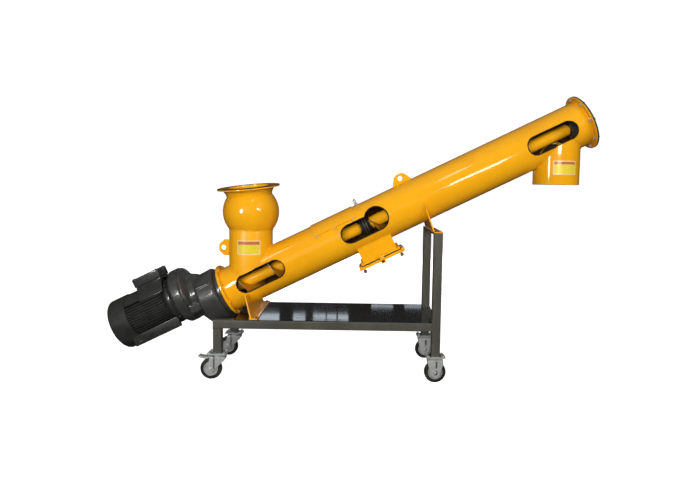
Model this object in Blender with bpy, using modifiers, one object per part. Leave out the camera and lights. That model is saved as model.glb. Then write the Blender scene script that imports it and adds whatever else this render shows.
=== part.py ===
"""Inclined screw conveyor on a wheeled trolley, with a cutaway tube.

Metres, +Z up. The conveyor runs along +X, with its drive at the low left end and
its outlet at the high right end. The origin lies on the floor, under the middle of
the whole machine. Everything that belongs to the slanted tube is built in the
tube's own frame: local X runs up the tube from its lower flange, local Z points
square out of its top.
"""
import bpy
import bmesh
from math import acos, asin, cos, pi, radians, sin, sqrt
from mathutils import Vector

# Tube and its place over the floor
TILT = radians(26.3)
TUBE_LENGTH = 1.910
TUBE_R = 0.1095
TUBE_WALL = 0.005
BORE_R = TUBE_R - TUBE_WALL
FOOT_X = -0.6035
FOOT_Z = 0.382
GAP = 0.0003

# Flanges and end cover
LOW_FLANGE_R = 0.130
HIGH_FLANGE_R = 0.1345
LOW_FLANGE_T = 0.012
HIGH_FLANGE_T = 0.005
COVER_T = 0.008
CAP_R = 0.055
CAP_T = 0.030
HUB_R = 0.050

# Cut windows in the near side of the tube, as places along and across the axis
WINDOW_HALF = 0.044
LOW_WINDOW = (0.075, 0.321)
MID_WINDOW_START = 0.626
MID_ROUND = (0.813, 0.013)
MID_ROUND_R = 0.057
HIGH_WINDOW = (1.593, 1.843)

# Screw; each flight crosses the near side of the tube at its named place
SCREW_R = 0.0975
SHAFT_R = 0.030
SHAFT_END = 1.832
JOURNAL_R = 0.020
PITCH = 0.165
FLIGHT_T = 0.004
LOW_FLIGHT = (0.030, 0.600)
LOW_CROSSING = 0.0975
HIGH_FLIGHT = (0.784, 1.585)
HIGH_CROSSING = 0.790
HANGER_S = 0.750
HANGER_LENGTH = 0.050
RUN_GAP = 0.0005
SIDE_GAP = 0.006

# Upright pipes
PIPE_R = 0.1055
PIPE_WALL = 0.005
INLET_X = -0.4905
SEAM_Z = 0.686
BALL_R = 0.136
BALL_Z = 0.773
BALL_WALL = 0.005
MOUTH_R = 0.095
SPOUT_LEAN = radians(-5.4)
SPOUT_NOD = radians(5.0)
SPOUT_FLANGE_R = 0.151
SPOUT_TOP = 0.124
OUTLET_R = 0.1075
OUTLET_X = 0.994
OUTLET_Z = 0.926

# Hatches
HATCH = (0.507, 0.728)
HATCH_HALF_ANGLE = radians(58)
HATCH_T = 0.004
BOX = (0.667, 0.842)
BOX_HALF_Y = 0.070
BOX_T = -0.158
BOX_WALL = 0.004
RIM_T = 0.008
RIM_OUT = 0.014
DOOR_T = 0.014
GASKET_T = 0.005
BOSS_R = 0.0105

# Trolley
SECTION = 0.040
SECTION_WALL = 0.003
LEG_X = -0.610
POST_X = 0.400
RAIL_Y = 0.185
RAIL_TOP = 0.281
POST_TOP = 0.697
TOP_BEAM_T = 0.008
SHELF_T = 0.002
SHELF_START = -0.532
LOW_BEAM_X = -0.445
SADDLE_LEAN = radians(18.5)
SADDLE_T = 0.006
FOOT_T = 0.005
HORN_Y = 0.119
HORN_T = -0.014
LOW_HORN_Y = 0.152
LOW_HORN_H = 0.098

# Castors
CASTOR_H = 0.125
WHEEL_R = 0.050
WHEEL_W = 0.028
PLATE_T = 0.005
PLATE_X = 0.090
PLATE_Y = 0.070
AXLE_R = 0.006
FORK_GAP = 0.006
FORK_T = 0.003
TRAIL = 0.031
HEAD_R = 0.031

# Drive; the motor lies above the tube's axis
MOTOR_T = 0.071
MOTOR_FRONT = -0.270
MOTOR_BACK = -0.462
COWL_BACK = -0.559
COWL_R = 0.125
FRAME_R = 0.121
FIN_ROOT_R = 0.100
FIN_LOW = -0.064
FIN_HIGH = 0.062
FIN_COUNT = 11
TERMINAL = (-0.387, -0.249)
TERMINAL_LOW = 0.120
TERMINAL_HIGH = 0.176
MOTOR_FOOT = (-0.493, -0.250)
MOTOR_FOOT_Y = 0.100
MOTOR_FOOT_HIGH = -0.072
MOTOR_FOOT_LOW = -0.123
INPUT_R = 0.135
INPUT_BACK = -0.240
INPUT_SEAM = -0.176
CASE_R = 0.130
CASE_BACK = -0.112
OUTPUT_R = 0.134
OUTPUT_BACK = -0.048
RING_BACK = -0.021
RING_R = 0.116

PAINT = ("paint_orange", (0.87, 0.42, 0.01), 0.22, 0.0)
STEEL_GREY = ("frame_grey", (0.075, 0.073, 0.058), 0.45, 0.0)
CHARCOAL = ("drive_charcoal", (0.032, 0.033, 0.029), 0.38, 0.0)
BLACK = ("black_rubber", (0.012, 0.012, 0.012), 0.6, 0.0)
ZINC = ("zinc_plate", (0.42, 0.42, 0.40), 0.35, 1.0)
SHEET = ("shelf_sheet", (0.02, 0.022, 0.022), 0.12, 0.0)


def tube_point(s, t):
    """Where a place along (s) and square to (t) the tube lies, before the shift to the origin."""
    return Vector((FOOT_X + s * cos(TILT) - t * sin(TILT), 0, FOOT_Z + s * sin(TILT) + t * cos(TILT)))


def cowl_profile():
    """Fan cowl from its open front to its rounded back, as (radius, place along the motor)."""
    shoulder = 0.024
    depth = 0.018
    steps = 4
    points = [(COWL_R, MOTOR_BACK - GAP)]
    for i in range(steps + 1):
        a = i / steps * pi / 2
        points.append((COWL_R - shoulder * (1 - cos(a)), COWL_BACK + depth * (1 - sin(a))))
    return points


def box_middle_x():
    """Middle of the machine from the back of the cowl to the rim of the end cover."""
    low = min(tube_point(s, MOTOR_T + r).x for r, s in cowl_profile())
    high = tube_point(TUBE_LENGTH + GAP + COVER_T, -HIGH_FLANGE_R).x
    return (low + high) / 2


def clear_scene():
    for obj in list(bpy.data.objects):
        bpy.data.objects.remove(obj, do_unlink=True)


def new_collection(name):
    collection = bpy.data.collections.new(name)
    bpy.context.scene.collection.children.link(collection)
    return collection


def make_material(spec):
    name, colour, roughness, metallic = spec
    material = bpy.data.materials.get(name)
    if material:
        return material
    material = bpy.data.materials.new(name)
    material.use_nodes = True
    shader = material.node_tree.nodes["Principled BSDF"]
    shader.inputs["Base Color"].default_value = (*colour, 1)
    shader.inputs["Roughness"].default_value = roughness
    shader.inputs["Metallic"].default_value = metallic
    return material


clear_scene()
PARTS = new_collection("screw_conveyor")
CUTTERS = new_collection("cutters")


def empty(name, parent, location, rotation=(0, 0, 0)):
    obj = bpy.data.objects.new(name, None)
    PARTS.objects.link(obj)
    obj.parent = parent
    obj.location = location
    obj.rotation_euler = rotation
    return obj


def place(mesh, name, parent, location, rotation, material):
    """Put a mesh in the scene as a named part, or as a cutter when it has no material."""
    obj = bpy.data.objects.new(name, mesh)
    if material:
        PARTS.objects.link(obj)
        mesh.materials.append(make_material(material))
    else:
        CUTTERS.objects.link(obj)
        obj.hide_render = True
        obj.display_type = "WIRE"
    obj.parent = parent
    obj.location = location
    obj.rotation_euler = rotation
    return obj


def block(name, parent, centre, size, material=None, rotation=(0, 0, 0)):
    mesh = bpy.data.meshes.new(name)
    bm = bmesh.new()
    bmesh.ops.create_cube(bm, size=1)
    bmesh.ops.scale(bm, vec=size, verts=bm.verts)
    bm.to_mesh(mesh)
    bm.free()
    return place(mesh, name, parent, centre, rotation, material)


def section(name, parent, centre, length, axis, material):
    """Square hollow section, open at its ends, along 'X', 'Y' or 'Z'."""
    mesh = bpy.data.meshes.new(name)
    bm = bmesh.new()
    bmesh.ops.create_cube(bm, size=1)
    ends = [f for f in bm.faces if abs(f.normal.z) > 0.5]
    bmesh.ops.delete(bm, geom=ends, context="FACES_ONLY")
    bmesh.ops.scale(bm, vec=(SECTION, SECTION, length), verts=bm.verts)
    bm.to_mesh(mesh)
    bm.free()
    turn = {"X": (0, pi / 2, 0), "Y": (pi / 2, 0, 0), "Z": (0, 0, 0)}[axis]
    obj = place(mesh, name, parent, centre, turn, material)
    wall = obj.modifiers.new("wall", "SOLIDIFY")
    wall.thickness = SECTION_WALL
    wall.offset = -1
    return obj


def cylinder(name, parent, centre, radius, length, rotation=(0, 0, 0), material=None, sides=48):
    mesh = bpy.data.meshes.new(name)
    bm = bmesh.new()
    bmesh.ops.create_cone(bm, cap_ends=True, segments=sides, radius1=radius, radius2=radius, depth=length)
    bm.to_mesh(mesh)
    bm.free()
    return place(mesh, name, parent, centre, rotation, material)


def tube_seat(name):
    """Cutter that leaves a piece just clear of the tube's outside."""
    return cylinder(name, TUBE, (TUBE_LENGTH / 2, 0, 0), TUBE_R + 2 * GAP, TUBE_LENGTH, ALONG)


def turned(name, parent, centre, profile, rotation=(0, 0, 0), material=None, sides=48, ring=False):
    """Solid of revolution about local Z; the profile runs down the outer side."""
    mesh = bpy.data.meshes.new(name)
    points = [(r, 0, z) for r, z in profile]
    edges = [(i, i + 1) for i in range(len(points) - 1)]
    if ring:
        edges.append((len(points) - 1, 0))
    mesh.from_pydata(points, edges, [])
    obj = place(mesh, name, parent, centre, rotation, material)
    spin = obj.modifiers.new("turn", "SCREW")
    spin.angle = 2 * pi
    spin.steps = sides
    spin.render_steps = sides
    spin.use_merge_vertices = True
    spin.merge_threshold = 0.00001
    return obj


def ring_profile(outer, inner, low, high):
    return [(outer, high), (outer, low), (inner, low), (inner, high)]


def plate(name, parent, centre, outline, thickness, rotation=(0, 0, 0), material=None):
    """Flat plate from an outline in its local XY plane."""
    curve = bpy.data.curves.new(name, "CURVE")
    curve.dimensions = "2D"
    curve.fill_mode = "BOTH"
    curve.extrude = thickness / 2
    line = curve.splines.new("POLY")
    line.points.add(len(outline) - 1)
    for point, (x, y) in zip(line.points, outline):
        point.co = (x, y, 0, 1)
    line.use_cyclic_u = True
    flat = bpy.data.objects.new(name + "_outline", curve)
    PARTS.objects.link(flat)
    mesh = bpy.data.meshes.new_from_object(flat.evaluated_get(bpy.context.evaluated_depsgraph_get()))
    bpy.data.objects.remove(flat, do_unlink=True)
    bpy.data.curves.remove(curve)
    bm = bmesh.new()
    bm.from_mesh(mesh)
    bmesh.ops.remove_doubles(bm, verts=bm.verts, dist=0.00001)
    bmesh.ops.recalc_face_normals(bm, faces=bm.faces)
    bm.to_mesh(mesh)
    bm.free()
    mesh.name = name
    mesh.materials.clear()
    return place(mesh, name, parent, centre, rotation, material)


def arc(cx, cy, radius, start, end, steps):
    return [(cx + radius * cos(start + (end - start) * i / steps),
             cy + radius * sin(start + (end - start) * i / steps)) for i in range(steps + 1)]


def combine(obj, other, operation="DIFFERENCE"):
    """Cut, join or keep the common part of a piece with a helper shape."""
    step = obj.modifiers.new(operation.lower(), "BOOLEAN")
    step.operation = operation
    step.object = other
    step.solver = "EXACT"
    return obj


def soften(obj, width, segments=1):
    bevel = obj.modifiers.new("edge", "BEVEL")
    bevel.width = width
    bevel.segments = segments
    bevel.limit_method = "ANGLE"
    bevel.angle_limit = radians(40)


ALONG = (0, pi / 2, 0)      # turns local Z into the tube's own X
ACROSS = (pi / 2, 0, 0)     # turns local Z into -Y
FACING = (pi / 2, 0, pi / 2)  # puts an XY outline in the YZ plane, normal along X

ORIGIN = empty("machine_middle", None, (-box_middle_x(), 0, 0))
TUBE = empty("tube_axis", ORIGIN, (FOOT_X, 0, FOOT_Z), (0, -TILT, 0))
MOTOR = empty("motor_axis", TUBE, (0, 0, MOTOR_T))


def stadium(start, end, half):
    """Outline of a slot with round ends, along X."""
    return (arc(end - half, 0, half, -pi / 2, pi / 2, 10)
            + arc(start + half, 0, half, pi / 2, 3 * pi / 2, 10))


def window_cutter(name, start, end):
    depth = 0.10
    return plate(name, TUBE, (0, -TUBE_R, 0), stadium(start, end, WINDOW_HALF), depth, ACROSS)


def build_tube():
    sides = 48
    middle = (TUBE_LENGTH / 2, 0, 0)
    tube = cylinder("conveyor_tube", TUBE, middle, TUBE_R, TUBE_LENGTH, ALONG, PAINT, sides)
    spare = 0.02
    bore = cylinder("bore", TUBE, middle, BORE_R, TUBE_LENGTH + spare, ALONG, None, sides)
    combine(tube, bore)
    combine(tube, window_cutter("low_window", *LOW_WINDOW))
    combine(tube, window_cutter("high_window", *HIGH_WINDOW))
    round_s, round_t = MID_ROUND
    combine(tube, window_cutter("mid_window", MID_WINDOW_START, round_s + WINDOW_HALF / 2))
    depth = 0.10
    combine(tube, cylinder("mid_round", TUBE, (round_s, -TUBE_R, round_t), MID_ROUND_R, depth, ACROSS, None, 28))
    drop = 0.16
    inlet = tube_point((INLET_X - FOOT_X) / cos(TILT), 0)
    hole = cylinder("inlet_hole", ORIGIN, (INLET_X, 0, inlet.z + drop / 2), PIPE_R - PIPE_WALL, drop)
    combine(tube, hole)
    outlet = tube_point((OUTLET_X - FOOT_X) / cos(TILT), 0)
    hole = cylinder("outlet_hole", ORIGIN, (OUTLET_X, 0, outlet.z - drop / 2), OUTLET_R - PIPE_WALL, drop)
    combine(tube, hole)
    margin = 0.022
    opening = HATCH[1] - HATCH[0] - 2 * margin
    middle = (HATCH[0] + HATCH[1]) / 2
    combine(tube, block("hatch_hole", TUBE, (middle, 0, TUBE_R), (opening, 0.14, 0.09)))
    middle = (BOX[0] + BOX[1]) / 2
    width = BOX[1] - BOX[0] - 2 * BOX_WALL
    combine(tube, block("box_hole", TUBE, (middle, 0, -TUBE_R), (width, 2 * (BOX_HALF_Y - BOX_WALL), 0.09)))
    return tube


def build_flanges():
    turned("lower_flange", TUBE, (0, 0, 0), ring_profile(LOW_FLANGE_R, TUBE_R + GAP, 0, LOW_FLANGE_T),
           ALONG, PAINT, 48, True)
    turned("upper_flange", TUBE, (TUBE_LENGTH - HIGH_FLANGE_T, 0, 0),
           ring_profile(HIGH_FLANGE_R, TUBE_R + GAP, 0, HIGH_FLANGE_T), ALONG, PAINT, 48, True)
    journal = JOURNAL_R + RUN_GAP
    low = TUBE_LENGTH + GAP
    high = low + COVER_T
    hub = SHAFT_END + SIDE_GAP
    pocket = high + CAP_T * 0.6
    cover = [(0, high + CAP_T), (CAP_R, high + CAP_T), (CAP_R, high), (HIGH_FLANGE_R, high), (HIGH_FLANGE_R, low),
             (HUB_R, low), (HUB_R, hub), (journal, hub), (journal, pocket), (0, pocket)]
    turned("end_cover", TUBE, (0, 0, 0), cover, ALONG, CHARCOAL, 40)


def flight(name, start, end, crossing):
    """Helical blade between two places on the tube's axis, joined to its shaft by the caller."""
    mesh = bpy.data.meshes.new(name)
    root = SHAFT_R - 0.003
    phase = 1.5 * pi + 2 * pi * (start - crossing) / PITCH
    mesh.from_pydata([(r * cos(phase), r * sin(phase), 0) for r in (root, SCREW_R)], [(0, 1)], [])
    blade = place(mesh, name, TUBE, (start, 0, 0), ALONG, None)
    turns = (end - start) / PITCH
    whole = int(turns)
    spin = blade.modifiers.new("helix", "SCREW")
    spin.angle = 2 * pi * turns / whole
    spin.screw_offset = PITCH * turns / whole
    spin.iterations = whole
    spin.steps = 20
    spin.render_steps = 20
    spin.use_merge_vertices = False
    thick = blade.modifiers.new("blade", "SOLIDIFY")
    thick.thickness = FLIGHT_T
    thick.offset = 0
    return blade


def build_screw():
    """Two screws in line, which meet at a journal inside the hanger bearing."""
    half = HANGER_LENGTH / 2 + RUN_GAP + 0.0045
    low_start = RING_BACK + GAP
    low_end = HANGER_S - half
    meet = HANGER_S - GAP / 2
    sides = 24
    lower = turned("screw_lower", TUBE, (0, 0, 0),
                   [(0, meet), (JOURNAL_R, meet), (JOURNAL_R, low_end), (SHAFT_R, low_end),
                    (SHAFT_R, low_start), (0, low_start)], ALONG, PAINT, sides)
    combine(lower, flight("flight_lower", *LOW_FLIGHT, LOW_CROSSING), "UNION")
    high_start = HANGER_S + half
    tip = TUBE_LENGTH + COVER_T + CAP_T * 0.6 - GAP
    upper = turned("screw_upper", TUBE, (0, 0, 0),
                   [(0, tip), (JOURNAL_R, tip), (JOURNAL_R, SHAFT_END), (SHAFT_R, SHAFT_END),
                    (SHAFT_R, high_start), (JOURNAL_R, high_start), (JOURNAL_R, meet + GAP), (0, meet + GAP)],
                   ALONG, PAINT, sides)
    combine(upper, flight("flight_upper", *HIGH_FLIGHT, HIGH_CROSSING), "UNION")


def build_hanger():
    """Bearing ring round the journals, hung from the tube's top by a flat stem."""
    ring = 0.046
    hanger = turned("hanger_bearing", TUBE, (HANGER_S, 0, 0),
                    ring_profile(ring, JOURNAL_R + RUN_GAP, -HANGER_LENGTH / 2, HANGER_LENGTH / 2),
                    ALONG, BLACK, 32, True)
    stem_half = 0.016
    top = sqrt((BORE_R - GAP) ** 2 - stem_half ** 2) - 0.001
    low = ring - 0.006
    stem = block("hanger_stem", TUBE, (HANGER_S, 0, (top + low) / 2), (0.030, 2 * stem_half, top - low))
    combine(hanger, stem, "UNION")


def build_inlet():
    """Upright pipe on the tube, ball socket on the pipe, and the tilted spout on the ball."""
    bottom = FOOT_Z + 0.05
    pipe = turned("inlet_pipe", ORIGIN, (INLET_X, 0, 0),
                  ring_profile(PIPE_R, PIPE_R - PIPE_WALL, bottom, SEAM_Z - GAP), (0, 0, 0), PAINT, 48, True)
    combine(pipe, tube_seat("pipe_seat"))
    combine(pipe, window_cutter("inlet_window_room", *LOW_WINDOW))
    low = -asin((BALL_Z - SEAM_Z) / BALL_R)
    high = acos(MOUTH_R / BALL_R)
    steps = 7
    outer = arc(0, 0, BALL_R, high, low, steps)
    inner = arc(0, 0, BALL_R - BALL_WALL, low * 0.995, high, steps)
    turned("inlet_ball", ORIGIN, (INLET_X, 0, BALL_Z), outer + inner, (0, 0, 0), PAINT, 36, True)
    seat = BALL_R + 0.0006
    waist = 0.1085
    inner_r = 0.098
    throat = sqrt(seat ** 2 - inner_r ** 2)
    foot = sqrt(seat ** 2 - waist ** 2)
    rim = 0.008
    fillet = 0.020
    bend = [(waist + fillet * (1 - cos(a)), SPOUT_TOP - rim - fillet + fillet * sin(a))
            for a in (pi / 2 * i / 3 for i in range(3, -1, -1))]
    profile = [(SPOUT_FLANGE_R, SPOUT_TOP), (SPOUT_FLANGE_R, SPOUT_TOP - rim)] + bend
    profile += [(waist, foot), (inner_r, throat), (inner_r, SPOUT_TOP)]
    turned("inlet_spout", ORIGIN, (INLET_X, 0, BALL_Z), profile, (SPOUT_NOD, SPOUT_LEAN, 0), PAINT, 40, True)


def build_outlet():
    top = tube_point((OUTLET_X - FOOT_X) / cos(TILT), 0).z + 0.02
    pipe = turned("outlet_spout", ORIGIN, (OUTLET_X, 0, 0),
                  ring_profile(OUTLET_R, OUTLET_R - PIPE_WALL, OUTLET_Z, top), (0, 0, 0), PAINT, 48, True)
    combine(pipe, tube_seat("outlet_seat"))
    combine(pipe, window_cutter("outlet_window_room", *HIGH_WINDOW))


def build_top_hatch():
    """Curved plate, bolted over the opening in the top of the tube."""
    low = TUBE_R + 2 * GAP
    high = low + HATCH_T
    cover = turned("top_hatch", TUBE, (HATCH[0], 0, 0), ring_profile(high, low, 0, HATCH[1] - HATCH[0]),
                   ALONG, PAINT, 48, True)
    edge = TUBE_R * cos(HATCH_HALF_ANGLE)
    depth = 0.4
    middle = (HATCH[0] + HATCH[1]) / 2
    combine(cover, block("hatch_trim", TUBE, (middle, 0, edge - depth / 2), (depth, depth, depth)))


def build_cleanout():
    """Box under the tube with a rim, and a clamped door with its seal under it."""
    middle = (BOX[0] + BOX[1]) / 2
    length = BOX[1] - BOX[0]
    low = BOX_T - RIM_T
    height = -low
    box = block("cleanout_box", TUBE, (middle, 0, low + height / 2), (length, 2 * BOX_HALF_Y, height), PAINT)
    rim = block("box_rim", TUBE, (middle, 0, low + RIM_T / 2),
                (length + 2 * RIM_OUT, 2 * (BOX_HALF_Y + RIM_OUT), RIM_T))
    combine(box, rim, "UNION")
    inside = block("box_inside", TUBE, (middle, 0, low + height / 2 - 0.01),
                   (length - 2 * BOX_WALL, 2 * (BOX_HALF_Y - BOX_WALL), height + 0.04))
    combine(box, inside)
    combine(box, tube_seat("box_seat"))
    seal_low = low - GAP - GASKET_T
    block("door_seal", TUBE, (middle, 0, seal_low + GASKET_T / 2),
          (length + 2 * RIM_OUT - 0.008, 2 * (BOX_HALF_Y + RIM_OUT) - 0.008, GASKET_T), BLACK)
    top = seal_low - GAP
    door = block("cleanout_door", TUBE, (middle, 0, top - DOOR_T / 2),
                 (length + 2 * RIM_OUT + 0.004, 2 * (BOX_HALF_Y + RIM_OUT), DOOR_T), PAINT)
    reach = length / 2 + RIM_OUT + 0.008
    for side in (-1, 1):
        boss = cylinder("door_boss", TUBE, (middle + side * reach, 0, top - DOOR_T / 2), BOSS_R,
                        2 * BOX_HALF_Y, ACROSS, None, 16)
        combine(door, boss, "UNION")
    bar_t = 0.018
    bar = block("door_bar", TUBE, (middle, 0, top - 0.001 - bar_t / 2),
                (0.020, 2 * (BOX_HALF_Y + RIM_OUT) + 0.010, bar_t))
    combine(door, bar, "UNION")


def ear(name, parent, centre, outline, hole, rotation):
    lug = plate(name, parent, centre, outline, 0.008, rotation, PAINT)
    drill = cylinder(name + "_hole", parent, (0, 0, 0), 0.0125, 0.05, rotation, None, 20)
    drill.location = hole
    combine(lug, drill)
    return lug


def build_lugs():
    """Lifting eyes of flat plate, one on the tube and one on the inlet pipe."""
    root = TUBE_R + 2 * GAP
    outline = [(-0.050, root), (0.052, root), (0.028, 0.150), (0.012, 0.157), (-0.012, 0.157), (-0.026, 0.148)]
    ear("tube_lug", TUBE, (1.001, 0, 0), outline, (1.001, 0, 0.134), ACROSS)
    side = INLET_X - PIPE_R - GAP
    outline = [(side, 0.556), (side, 0.634), (side - 0.026, 0.634), (side - 0.050, 0.612), (side - 0.050, 0.578),
               (side - 0.026, 0.556)]
    ear("inlet_lug", ORIGIN, (0, 0, 0), outline, (side - 0.029, 0, 0.595), ACROSS)


def saddle(name, beam_x, base_half, floor_z, low_wings=False):
    """Leaning plate that cradles the tube from below, with a level foot on its beam."""
    x = beam_x - SECTION / 2 + SADDLE_T
    foot_top = floor_z + GAP + FOOT_T
    root = empty(name + "_root", ORIGIN, (x, 0, foot_top), (0, -SADDLE_LEAN, 0))
    to_axis = (x - FOOT_X) * sin(TILT) + (FOOT_Z - foot_top) * cos(TILT)
    horn = to_axis / cos(TILT - SADDLE_LEAN) + HORN_T
    neck = horn - 0.036
    low = -0.002
    sides = [(LOW_HORN_Y, LOW_HORN_H)] if low_wings else [(HORN_Y, neck), (HORN_Y, horn)]
    outline = [(-base_half, low), (base_half, low)] + sides + [(-y, h) for y, h in reversed(sides)]
    cradle = plate(name, root, (0, 0, 0), outline, SADDLE_T, FACING, PAINT)
    combine(cradle, tube_seat(name + "_seat"))
    foot = block(name + "_foot", ORIGIN, (beam_x, 0, foot_top - FOOT_T / 2),
                 (SECTION, 2 * (RAIL_Y + SECTION / 2) - 0.01, FOOT_T))
    combine(cradle, foot, "UNION")


def build_trolley():
    rail_z = RAIL_TOP - SECTION / 2
    left = LEG_X - SECTION / 2
    right = POST_X - SECTION / 2 - GAP
    for side, word in ((-1, "near"), (1, "far")):
        y = side * RAIL_Y
        section("rail_" + word, ORIGIN, ((left + right) / 2, y, rail_z), right - left, "X", STEEL_GREY)
        low = CASTOR_H + GAP
        high = RAIL_TOP - SECTION - GAP
        section("leg_left_" + word, ORIGIN, (LEG_X, y, (low + high) / 2), high - low, "Z", STEEL_GREY)
        section("post_right_" + word, ORIGIN, (POST_X, y, (low + POST_TOP) / 2), POST_TOP - low, "Z", STEEL_GREY)
    between = 2 * (RAIL_Y - SECTION / 2 - GAP)
    section("cross_rail_left", ORIGIN, (LOW_BEAM_X, 0, rail_z), between, "Y", STEEL_GREY)
    section("cross_rail_right", ORIGIN, (POST_X, 0, rail_z), between, "Y", STEEL_GREY)
    block("top_beam", ORIGIN, (POST_X, 0, POST_TOP - TOP_BEAM_T / 2), (SECTION, between, TOP_BEAM_T), STEEL_GREY)
    end = POST_X - SECTION / 2 - GAP
    block("shelf_sheet", ORIGIN, ((SHELF_START + end) / 2, 0, RAIL_TOP + GAP + SHELF_T / 2),
          (end - SHELF_START, 2 * (RAIL_Y + SECTION / 2) - 0.006, SHELF_T), SHEET)
    saddle("saddle_lower", LOW_BEAM_X, 0.190, RAIL_TOP + GAP + SHELF_T, True)
    saddle("saddle_upper", POST_X, 0.140, POST_TOP)


def wheel(name, parent):
    """Turned wheel with a rubber tyre's round shoulders and a bore for the axle."""
    half = WHEEL_W / 2
    web = 0.008
    hub = 0.014
    bore = AXLE_R + RUN_GAP
    profile = [(0.034, half), (0.045, half), (WHEEL_R, half - 0.007), (WHEEL_R, 0.007 - half),
               (0.045, -half), (0.034, -half), (0.030, -web), (hub, -web), (hub, -half), (bore, -half),
               (bore, half), (hub, half), (hub, web), (0.030, web)]
    return turned(name, parent, (0, 0, 0), profile, ACROSS, BLACK, 24, True)


def fork_side(name, parent, trail, y, top):
    """One cheek of a fork: broad under the plate, narrow and round at the axle."""
    broad = 0.036
    end = 0.018 if trail else 0.023
    lower = arc(-trail, 0, end, pi, 2 * pi, 8)
    outline = [(-broad, top), (-broad, top - 0.012)] + lower + [(broad, top - 0.012), (broad, top)]
    return plate(name, parent, (0, y, 0), outline, FORK_T, ACROSS)


def fork(name, parent, trail, bridge_z, material):
    """Bridge plate, two cheeks and the axle as one pressing; the parent lies at axle height."""
    inside = WHEEL_W / 2 + FORK_GAP
    bridge_t = 0.003
    body = block(name, parent, (0, 0, bridge_z + bridge_t / 2), (0.072, 2 * (inside + FORK_T), bridge_t), material)
    for side in (-1, 1):
        y = side * (inside + FORK_T / 2)
        combine(body, fork_side(name + "_cheek", parent, trail, y, bridge_z + bridge_t / 2), "UNION")
    axle = cylinder(name + "_axle", parent, (-trail, 0, 0), AXLE_R, 2 * (inside + FORK_T) + 0.010, ACROSS,
                    None, 16)
    combine(body, axle, "UNION")
    return body


def build_castors():
    bridge = WHEEL_R + 0.0055
    for side, word in ((-1, "near"), (1, "far")):
        y = side * RAIL_Y
        plate_z = CASTOR_H - PLATE_T / 2
        head_top = CASTOR_H - PLATE_T - GAP
        block("castor_plate_" + word, ORIGIN, (LEG_X, y, plate_z), (PLATE_X, PLATE_Y, PLATE_T), ZINC)
        swivel = empty("swivel_" + word, ORIGIN, (LEG_X, y, WHEEL_R))
        body = fork("swivel_fork_" + word, swivel, TRAIL, bridge, ZINC)
        head_low = bridge + 0.001
        head = cylinder("head_" + word, swivel, (0, 0, (head_low + head_top - WHEEL_R) / 2), HEAD_R,
                        head_top - WHEEL_R - head_low, (0, 0, 0), None, 24)
        combine(body, head, "UNION")
        pedal = block("pedal_" + word, swivel, (side * 0.060, 0, bridge + 0.0015), (0.060, 0.034, 0.003))
        combine(body, pedal, "UNION")
        hub = empty("left_hub_" + word, swivel, (-TRAIL, 0, 0))
        wheel("wheel_left_" + word, hub)
        fixed = empty("fixed_" + word, ORIGIN, (POST_X, y, WHEEL_R))
        body = fork("fixed_fork_" + word, fixed, 0, bridge, ZINC)
        mount = block("mount_" + word, fixed, (0, 0, (bridge + CASTOR_H - WHEEL_R) / 2 + 0.0005),
                      (PLATE_X * 0.7, PLATE_Y * 0.6, CASTOR_H - WHEEL_R - bridge - 0.001))
        combine(body, mount, "UNION")
        top = block("fixed_plate_" + word, fixed, (0, 0, plate_z - WHEEL_R), (PLATE_X, PLATE_Y, PLATE_T))
        combine(body, top, "UNION")
        hub = empty("right_hub_" + word, fixed, (0, 0, 0))
        wheel("wheel_right_" + word, hub)


def build_gearbox():
    """Cast case in one piece: input disc on the motor's axis, round case and output rim on the tube's."""
    gearbox = turned("gearbox", MOTOR, (0, 0, 0),
                     [(0, -0.103), (0.067, -0.103), (0.090, -0.146), (0.128, -0.163), (0.131, INPUT_SEAM + 0.002),
                      (0.128, INPUT_SEAM), (INPUT_R, INPUT_SEAM - 0.003), (INPUT_R, INPUT_BACK + 0.022),
                      (INPUT_R - 0.022, INPUT_BACK), (0, INPUT_BACK)], ALONG, CHARCOAL)
    output = turned("output_case", TUBE, (0, 0, 0),
                    [(0, RING_BACK - GAP), (OUTPUT_R - 0.016, RING_BACK - GAP), (OUTPUT_R, -0.032),
                     (OUTPUT_R, OUTPUT_BACK), (CASE_R, OUTPUT_BACK - 0.004), (CASE_R, CASE_BACK),
                     (0.055, CASE_BACK - 0.051), (0, CASE_BACK - 0.051)], ALONG)
    combine(gearbox, output, "UNION")
    waist = turned("case_waist", TUBE, (0, 0, 0.0405),
                   [(0, -0.100), (0.088, -0.100), (0.103, -0.125), (0.103, -0.170), (0, -0.170)], ALONG)
    combine(gearbox, waist, "UNION")
    for side in (-1, 1):
        pad = block("inspection_pad", TUBE, (-0.150, side * 0.100, -0.0025), (0.050, 0.040, 0.039))
        combine(gearbox, pad, "UNION")
        rib = block("case_rib", TUBE, (-0.078, side * 0.096, 0.078), (0.068, 0.031, 0.010))
        combine(gearbox, rib, "UNION")
    turned("adapter_ring", TUBE, (0, 0, 0), ring_profile(RING_R, 0.060, RING_BACK, -GAP), ALONG, BLACK, 40, True)


def motor_outline():
    """Motor frame seen from its end: a flat sole, level fins on both sides, a smooth round top."""
    step = (FIN_HIGH - FIN_LOW) / (FIN_COUNT - 1)
    thick = 0.005
    side = [(0.070, MOTOR_FOOT_HIGH + GAP)]
    for i in range(FIN_COUNT):
        for edge in (-1, 1):
            z = FIN_LOW + i * step + edge * thick / 2
            root = sqrt(FIN_ROOT_R ** 2 - z ** 2)
            tip = sqrt(FRAME_R ** 2 - z ** 2)
            side += [(root, z), (tip, z)] if edge < 0 else [(tip, z), (root, z)]
    side += arc(0, 0, FRAME_R, asin((FIN_HIGH + step) / FRAME_R), radians(84), 5)
    return side + [(-y, z) for y, z in reversed(side)]


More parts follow.
